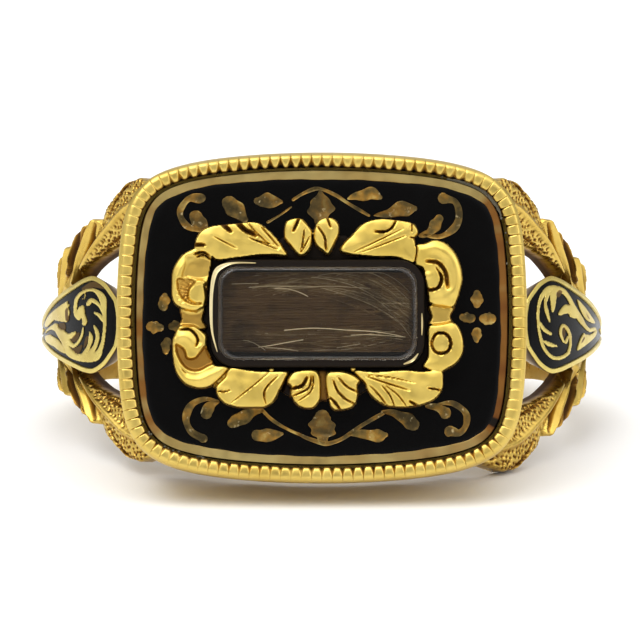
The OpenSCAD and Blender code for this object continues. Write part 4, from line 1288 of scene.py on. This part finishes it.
# Chased lines: path, width and depth
CHASING = [
    ([(-4.08, 3.03), (-3.65, 2.8), (-3.2, 2.57)], 0.05, 0.12),
    ([(-2.62, 2.9), (-2.2, 2.8), (-1.8, 2.72)], 0.05, 0.1),
    ([(-3.82, 3.6), (-3.66, 3.4), (-3.44, 3.22)], 0.12, 0.5),
    ([(-5.34, -0.5), (-5.0, -0.49), (-4.78, -0.66), (-4.67, -0.89), (-4.74, -1.12)], 0.075, 0.3),
    ([(-3.5, -1.98), (-3.84, -2.34), (-4.18, -2.66)], 0.06, 0.2),
    ([(-5.32, -1.92), (-5.2, -2.06), (-5.06, -2.18)], 0.035, 0.1),
    ([(-4.7, 2.24), (-4.45, 2.32), (-4.2, 2.14)], 0.06, 0.3),
    ([(-2.75, 2.98), (-2.2, 2.75), (-1.65, 2.52)], 0.05, 0.14),
    ([(-3.2, 3.6), (-2.95, 3.3), (-2.5, 3.08)], 0.14, 0.55),
    ([(-2.8, 3.55), (-2.45, 3.15), (-1.95, 2.7)], 0.06, 0.14),
    ([(-2.3, 3.4), (-1.95, 3.0), (-1.6, 2.6)], 0.06, 0.14),
    ([(-4.9, 2.72), (-4.65, 2.7), (-4.42, 2.7)], 0.1, 0.4),
    ([(-4.8, 2.35), (-4.5, 2.42), (-4.25, 2.3)], 0.08, 0.3),
    ([(1.2, 2.42), (2.1, 2.85), (3.05, 3.31)], 0.045, 0.12),
    ([(1.5, 2.42), (2.3, 2.72), (3.16, 3.05)], 0.045, 0.12),
    ([(2.0, 3.2), (2.4, 3.2), (2.65, 3.36), (2.78, 3.6)], 0.07, 0.3),
    ([(3.42, 3.55), (3.38, 3.35), (3.42, 3.15)], 0.04, 0.12),
    ([(3.3, 3.0), (3.65, 2.92)], 0.05, 0.2),
    ([(3.55, 2.85), (3.58, 2.45), (3.5, 2.0)], 0.05, 0.16),
    ([(3.95, 2.08), (4.38, 2.02), (4.66, 1.66), (4.74, 1.1)], 0.12, 0.32),
    ([(4.45, 1.62), (4.52, 1.4), (4.4, 1.1), (4.1, 1.0), (3.85, 1.08)], 0.1, 0.34),
    ([(4.3, 1.85), (4.5, 1.5), (4.4, 1.15)], 0.05, 0.2),
    ([(-0.87, 3.68), (-0.98, 3.42), (-1.08, 3.22)], 0.09, 0.3),
    ([(-0.66, 3.3), (-0.72, 2.8), (-0.8, 2.4)], 0.05, 0.16),
    ([(-0.45, 3.05), (-0.62, 2.7), (-0.78, 2.42)], 0.05, 0.14),
    ([(-0.16, 3.4), (0.1, 3.0), (0.16, 2.5)], 0.07, 0.22),
    ([(0.2, 3.72), (0.28, 3.5), (0.34, 3.35)], 0.06, 0.2),
    ([(-2.0, -2.12), (-2.7, -2.7), (-3.42, -3.27)], 0.04, 0.13),
    ([(-1.68, -2.26), (-2.07, -2.65), (-2.18, -2.95), (-2.1, -3.3)], 0.06, 0.16),
    ([(-3.95, -2.8), (-3.7, -2.84), (-3.45, -2.78)], 0.05, 0.16),
    ([(-1.32, -2.3), (-1.5, -2.75), (-1.78, -3.2)], 0.1, 0.3),
    ([(-0.56, -2.3), (-0.75, -2.62), (-1.15, -2.72)], 0.1, 0.36),
    ([(-0.4, -2.2), (-0.5, -2.7), (-1.1, -3.0)], 0.06, 0.2),
    ([(-0.3, -2.2), (-0.4, -2.8), (-0.9, -3.2)], 0.05, 0.14),
    ([(0.42, -2.38), (0.6, -2.82), (0.9, -3.12), (1.25, -3.3)], 0.07, 0.22),
    ([(0.62, -2.3), (0.95, -2.65), (1.36, -2.85)], 0.07, 0.2),
    ([(0.3, -3.05), (0.5, -3.25), (0.7, -3.52)], 0.08, 0.28),
    ([(1.65, -2.25), (2.4, -2.5), (3.3, -2.78)], 0.06, 0.14),
    ([(1.65, -2.2), (2.6, -2.3), (3.5, -2.5)], 0.05, 0.1),
    ([(1.8, -2.6), (2.1, -2.9), (2.45, -3.35)], 0.06, 0.16),
    ([(2.25, -2.6), (2.55, -2.95), (2.75, -3.4)], 0.05, 0.16),
    ([(2.4, -2.6), (2.85, -2.95), (3.2, -3.4)], 0.05, 0.14),
    ([(3.3, -3.2), (3.6, -3.35)], 0.08, 0.26),
    ([(4.0, -2.7), (4.5, -2.78)], 0.06, 0.2),
    ([(4.12, -1.02), (4.27, -0.7), (4.5, -0.62), (4.75, -0.72), (4.86, -1.02), (4.75, -1.3), (4.5, -1.4),
     (4.25, -1.3), (4.12, -1.02)], 0.09, 0.34)
]
# Raised lips along the scrolls: path, width and rise
LIPS = [
    ([(-4.6, 2.3), (-5.1, 2.1), (-5.42, 1.6), (-5.55, 1.05), (-5.38, 0.58), (-4.9, 0.32)], 0.12, 0.05),
    ([(-4.32, 1.0), (-4.38, 1.22), (-4.6, 1.3), (-4.9, 1.2)], 0.05, 0.14),
    ([(-5.3, -0.4), (-4.9, -0.4), (-4.55, -0.65), (-4.45, -1.0), (-4.65, -1.25)], 0.09, 0.06),
    ([(-5.5, -0.85), (-5.2, -0.75), (-4.95, -0.9), (-4.78, -1.15)], 0.14, 0.08),
    ([(-5.5, -1.2), (-5.48, -1.8), (-5.2, -2.3), (-4.7, -2.42), (-4.2, -2.25), (-3.8, -2.0)], 0.15, 0.08),
    ([(3.7, 2.45), (4.3, 2.6), (4.85, 2.25), (5.08, 1.6), (5.0, 1.0), (4.6, 0.7)], 0.2, 0.1)
]


def fluted_fan(points):
    """The small flutes that spread from the upper left scroll's knob."""
    d = points - [-4.66, 0.94]
    turn = np.degrees(np.arctan2(d[:, 1], d[:, 0])) % 360
    r = np.linalg.norm(d, axis=1)
    window = ease((turn - 115) / 25) * ease((235 - turn) / 25) * ease((r - 0.3) / 0.1)
    return window * ease((0.86 - r) / 0.12) * (0.03 * np.cos(np.radians(turn) * 26) - 0.02)


def frame_height(points, carved):
    """Height of the frame's carving above the plaque, and how deep in a recess each point is."""
    height = np.full(len(points), -1.0)
    for outline, edge, crown, soft in CARVING.values():
        depth = depth_in(points, smooth_line(outline, 6))
        slope = 0.22 * (crown - edge) * (1 - rounded(depth / (1.5 * soft)))
        dome = crown - 0.1 * (1 - rounded(depth / 0.07)) - slope
        height = np.where(depth > -0.02, np.maximum(height, dome), height)
    # The lower the carving lies, the darker it is marked: dirt and painted shade
    recess = ease((0.6 - height) / 0.16)
    for outline, floor_height, brown in HOLLOWS:
        sunk = ease(depth_in(points, smooth_line(outline, 6)) / 0.12 + 0.2)
        height = height * (1 - sunk) + np.minimum(height, floor_height) * sunk
        recess = np.maximum(recess, brown * sunk)
    height += fluted_fan(points) + 0.006 * np.sin(points @ [7, 4]) * np.sin(points @ [-4, 9] + 1)
    for u, v, r, top in KNOBS:
        gap = np.linalg.norm(points - [u, v], axis=1)
        knob = np.where(gap < r, top - 0.22 + 0.22 * np.sqrt(1 - np.clip(gap / r, 0, 1)**2), -1)
        height = np.maximum(height, knob)
        recess *= ease((gap / r - 0.8) / 0.3)
    for path, width, rise in LIPS:
        gap, share = distance(points, smooth_line(path, 6, closed=False))
        lip = np.exp(-(gap / width)**2) * np.sin(math.pi * np.clip(share, 0.04, 0.96))**0.5
        height += rise * lip
        recess *= 1 - 0.8 * lip
    for path, width, deep in CHASING:
        gap, share = distance(points, smooth_line(path, 6, closed=False))
        taper = np.sin(math.pi * np.clip(share * 0.9 + 0.05, 0, 1))**0.5
        cut = deep * np.clip(1 - gap / (0.7 * width), 0, 1)**0.9 * taper
        height -= cut
        # Chased lines are marked dark: dirt and painted shade
        recess = np.maximum(recess, np.clip(cut / deep * 1.1, 0, 1) * min(0.9, 0.15 + 2.4 * deep))
    # The ground between the carving is marked fully dark: painted shade
    ground = carved < 0.02
    height = np.where(ground, np.clip(height, 0.28, 0.34), height)
    return height, np.where(ground, 1.0, recess)


def frame_edge(points):
    """Distance inside the frame's metal: within its carving or its ground, and outside its window."""
    carving = deepest(points, [smooth_line(entry[0], 6) for entry in CARVING.values()])
    ground = depth_in(points, rounded_rectangle(9.4, 4.9, 0.7) + [-0.2, 0.1])
    window = -depth_in(points, window_outline(0.25, 200))
    return np.minimum(np.maximum(carving, ground), window), carving


def scroll_frame():
    """The carved border round the glass."""
    low, high = (-5.75, -3.65), (5.5, 3.85)
    part, recess = relief(low, high, frame_edge, frame_height, PLAQUE_TOP + 0.004, FRAME_TOP)
    piece("carved_frame", [part], frame_gold, "scroll_frame", recess, sharp=55)


scroll_frame()


# Small things left by time and by the maker: two beads of solder, and pale dirt in the gap round the plaque

def ball(centre, r, flatten=1.0):
    """A small sphere with ten sides."""
    turn = np.arange(10) / 10 * 2 * math.pi
    rings = []
    for lean in np.linspace(0.12, math.pi - 0.12, 7):
        out = r * math.sin(lean)
        circle = np.stack([centre[0] + out * np.cos(turn), centre[1] + out * np.sin(turn)], axis=1)
        rings.append(level(circle, centre[2] - flatten * r * math.cos(lean)))
    return capped(rings)


BEADS = [(-1.9, -2.02), (1.18, -1.98)]
beads = [ball((u, v, PLAQUE_TOP + 0.7), 0.11) for u, v in BEADS]
piece("solder_beads", beads, frame_gold, None, sharp=80)


def pale_dirt():
    """Old polish, dried in the gap."""
    material, tree = new_material("pale_dirt")
    colour = (0.17, 0.15, 0.1)
    return shaded(material, {
        "Base Color": mixed(tree, noise(tree, 1200, 4), colour, tuple(0.7 * c for c in colour)),
        "Roughness": 0.9
    })


def dirt():
    """Pale filling in the gap at the upper right, and crumbs further along it."""
    line = cushion(PLAQUE_INSET - 0.03, 720)
    widths = (0.05, 0.12, 0.18, 0.2, 0.14, 0.05)
    parts = [stroke(line[60:112:4], widths, PLAQUE_TOP - 0.3, PLAQUE_TOP - 0.02, 0.3)]
    for start, end, count in ((0.04, 0.16, 20), (0.58, 0.66, 18)):
        for _ in range(count):
            at = line[int(720 * rng.uniform(start, end))]
            middle = (at[0] + rng.uniform(-0.05, 0.05), at[1] + rng.uniform(-0.05, 0.05),
                      PLAQUE_TOP - rng.uniform(0.02, 0.08))
            parts.append(ball(middle, rng.uniform(0.02, 0.05), 0.7))
    piece("gap_dirt", parts, pale_dirt(), None, sharp=80)


dirt()


# The glass and the hair

def crystal():
    """The glass: a girdle, a rounded shoulder and a low dome."""
    base, top = glass_low[2], glass_high[2]
    w, h = GLASS_SIZE[:2]
    girdle = base + 0.5 * (top - base)
    rings = []
    rows = [(0.03, base), (0, base + 0.03), (0, girdle), (0.012, girdle + 0.14), (0.03, girdle + 0.26),
            (0.06, girdle + 0.34), (0.1, girdle + 0.4), (0.15, girdle + 0.44)]
    for inset, height in rows:
        corner = max(GLASS_CORNER - 0.5 * inset, 0.12)
        rings.append(level(rounded_rectangle(w - 2 * inset, h - 2 * inset, corner) + GLASS_MID[:2], height))
    for share in (0.985, 0.96, 0.9, 0.78, 0.64, 0.5, 0.36, 0.22, 0.1, 0.03):
        line = rounded_rectangle(w - 0.3, h - 0.3, 0.64) * share + GLASS_MID[:2]
        rings.append(level(line, top - 0.05 * share**2))
    piece("glass", [capped(rings)], crystal_glass(), "crystal", sharp=30)


STRANDS = 640
# Strands painted pale as highlights where the light catches them: their start and end in shares of the
# lock's half size, bow, thickness, shade
BRIGHT_STRANDS = [
    (-0.72, 0.62, 0.55, 0.6, 0.02, 0.016, 0.86),
    (-0.45, 0.58, -0.1, 0.38, 0.04, 0.016, 0.95),
    (-0.35, -0.45, 0.9, -0.62, 0.06, 0.017, 1.0),
    (0.35, -0.58, 0.92, -0.62, 0.0, 0.016, 0.95),
    (-0.62, -0.86, -0.15, -0.7, 0.02, 0.018, 0.98),
    (-0.78, -0.7, -0.55, -0.95, 0.0, 0.014, 0.9),
    (-0.55, -0.9, -0.2, -0.96, 0.0, 0.014, 0.9),
    (0.2, -0.9, 0.45, -0.78, 0.03, 0.012, 0.88),
    (0.0, 0.88, 0.97, 0.1, 0.2, 0.014, 0.8),
    (0.2, 0.92, 0.97, 0.28, 0.2, 0.014, 0.8),
    (-0.3, 0.8, 0.75, 0.15, 0.15, 0.014, 0.85),
    (0.45, 0.95, 0.98, 0.45, 0.15, 0.014, 0.8),
    (0.68, 0.22, 0.95, 0.2, 0.0, 0.016, 0.85),
    (-0.9, 0.72, -0.62, 0.7, 0.0, 0.014, 0.85)
]


def hair():
    """The lock's pad, and the strands over it: most lie along it, and some sweep across."""
    # The lock sits high and short in its well, so a strip of the dark-marked well shows below it: painted
    # shadow at the lock's lower edge
    mid_u, mid_v = (hair_low[0] + hair_high[0]) / 2, (hair_low[1] + hair_high[1]) / 2 + 0.09
    half_u, half_v = (hair_high[0] - hair_low[0]) / 2, (hair_high[1] - hair_low[1]) / 2 - 0.1
    crown = hair_high[2] - 0.16
    drop_edge = 0.22
    pad_line = rounded_rectangle(2 * half_u, 2 * half_v, 0.5, 6)
    rings = [level(pad_line + [mid_u, mid_v], hair_low[2])]
    for share in np.linspace(1, 0.03, 10):
        line = pad_line * share
        rings.append(level(line + [mid_u, mid_v], crown - drop_edge * (line[:, 1] / half_v)**2))
    material = hair_strands()
    pad = capped(rings)
    piece("hair_pad", [pad], material, "hair", np.full(len(pad[0]), 0.3))
    parts, marks = [], []
    for number in range(STRANDS):
        r = rng.uniform(0.010, 0.02)
        start_v = rng.uniform(-0.97, 0.97)
        sweep, bow, first, last = rng.uniform(-0.12, 0.08), rng.uniform(-0.06, 0.08), -0.985, 0.985
        shade = rng.uniform(0.38, 0.52)
        kind = rng.random()
        if kind < 0.3:
            start_v, sweep, bow = rng.uniform(0.4, 0.97), rng.uniform(-1.15, -0.45), rng.uniform(0.12, 0.35)
            first, r, shade = rng.uniform(-0.7, 0.35), rng.uniform(0.012, 0.026), rng.uniform(0.5, 0.82)
        elif kind < 0.42:
            start_v, sweep, bow = rng.uniform(-0.97, -0.45), rng.uniform(-0.12, 0.2), rng.uniform(-0.15, 0.1)
            first, last, shade = rng.uniform(-0.98, 0.0), rng.uniform(0.4, 0.98), rng.uniform(0.5, 0.85)
        elif kind < 0.6:
            first, last = rng.uniform(-0.98, 0.1), rng.uniform(0.3, 0.98)
        if number < len(BRIGHT_STRANDS):
            first, start_v, last, end_v, bow, r, shade = BRIGHT_STRANDS[number]
            sweep = end_v - start_v
        t = np.linspace(first, last, 26)
        run = (t - first) / (last - first)
        v = start_v + sweep * run**1.8 + bow * 4 * run * (1 - run) + 0.012 * np.sin(9 * t + number)
        v = np.clip(v, -0.98, 0.98)
        lift = 0.1 if number < len(BRIGHT_STRANDS) else rng.uniform(0.0, 0.09)
        w = crown - drop_edge * v**2 + r + lift * (1 - t**2)**0.5 - 0.01
        path = np.stack([mid_u + t * half_u, mid_v + v * half_v, w], axis=1)
        thin = r * np.clip(1.1 - np.abs(t)**6 * 0.5, 0.4, 1)
        corners = [math.pi / 2 * k + 0.4 for k in range(4)]
        sides = [path + thin[:, None] * [0, math.cos(turn), math.sin(turn)] for turn in corners]
        parts.append(capped(np.stack(sides, axis=1)))
        marks.append(np.full(4 * len(t), shade))
    piece("hair_lock", parts, material, None, np.concatenate(marks), sharp=80)


crystal()
hair()


# Stage, camera and light

FLOOR_HALF_M = 3.0
LIGHTS_FAR = 0.5
# Name, azimuth, elevation, size in metres and watts
LIGHTS = [("key", -35, 55, (0.4, 0.4), 1.35), ("fill", 60, 30, (0.25, 0.35), 0.5),
          ("overhead", 0, 84, (0.8, 0.8), 1.6)]


def stage():
    """The pale floor."""
    mesh = bpy.data.meshes.new("floor")
    corners = ((-1, -1), (1, -1), (1, 1), (-1, 1))
    mesh.from_pydata([(x * FLOOR_HALF_M, y * FLOOR_HALF_M, 0) for x, y in corners], [], [(0, 1, 2, 3)])
    material, _ = new_material("pale_floor")
    mesh.materials.append(shaded(material, {"Base Color": 0.9, "Roughness": 0.7, "Specular IOR Level": 0.1}))
    show("floor", mesh)


CAMERA_RISE = 12.3
CAMERA_FAR = 0.35
PIXELS = 640
PIXELS_PER_MM = 26.5
HEAD_MIDDLE_PX = (321.8, 317.0)


def aim(obj, at):
    """Turns a camera or a light to look at a place."""
    obj.rotation_euler = (Vector(at) - obj.location).to_track_quat("-Z", "Y").to_euler()


def camera(middle):
    """The camera at the photograph's angle, with the head's middle where the photograph has it."""
    data = bpy.data.cameras.new("camera")
    cam = show("camera", data)
    rise = math.radians(CAMERA_RISE)
    cam.location = Vector(middle) + CAMERA_FAR * Vector((0, -math.cos(rise), math.sin(rise)))
    aim(cam, middle)
    data.sensor_width = 36
    data.lens = 36 * CAMERA_FAR / (PIXELS / PIXELS_PER_MM * MM)
    data.shift_x = (PIXELS / 2 - HEAD_MIDDLE_PX[0]) / PIXELS
    data.shift_y = (HEAD_MIDDLE_PX[1] - PIXELS / 2) / PIXELS
    data.clip_start = 0.01
    bpy.context.scene.camera = cam


def soft_box(middle, name, azimuth, elevation, size, watts):
    """A large light that looks at the ring. Azimuth 0 is the camera's side, and 90 is the right."""
    data = bpy.data.lights.new(name, "AREA")
    data.shape = "RECTANGLE"
    data.size, data.size_y = size
    data.energy = watts
    light = show(name, data)
    a, e = math.radians(azimuth), math.radians(elevation)
    out = Vector((math.sin(a) * math.cos(e), -math.cos(a) * math.cos(e), math.sin(e)))
    light.location = Vector(middle) + LIGHTS_FAR * out
    aim(light, middle)


def surround(elevation):
    """A white tent with a dark strip on each side, and a dark opening where the head's face mirrors it."""
    world = bpy.data.worlds.new("tent")
    bpy.context.scene.world = world
    world.use_nodes = True
    tree = world.node_tree
    outward = add(tree, "ShaderNodeTexCoord").outputs["Generated"]
    e = math.radians(elevation)
    ahead = {0: outward, 1: (0, -math.cos(e), math.sin(e))}
    toward = add(tree, "ShaderNodeVectorMath", ahead, operation="DOT_PRODUCT").outputs["Value"]
    opening = ramp(tree, toward, [(0, 0.8), (0.9, 1.05), (0.975, 1.05), (0.988, 0.24), (1, 0.2)])
    across = add(tree, "ShaderNodeSeparateXYZ", {0: outward}).outputs[0]
    sideways = add(tree, "ShaderNodeMath", {0: across}, operation="ABSOLUTE").outputs[0]
    strips = ramp(tree, sideways, [(0, 1), (0.52, 1), (0.6, 0.42), (0.72, 0.42), (0.82, 1)])
    tent = mixed(tree, 1, opening, strips, "MULTIPLY")
    feed(tree.nodes["Background"], {"Color": tent, "Strength": 0.95})


stage()
middle = place([(0, 0, RIM_TOP)])[0]
camera(middle)
tilt = math.degrees(math.atan2(AXIS[1], AXIS[2]))
surround(2 * tilt - CAMERA_RISE)
for light in LIGHTS:
    soft_box(middle, *light)
bpy.context.scene.view_settings.view_transform = "Standard"
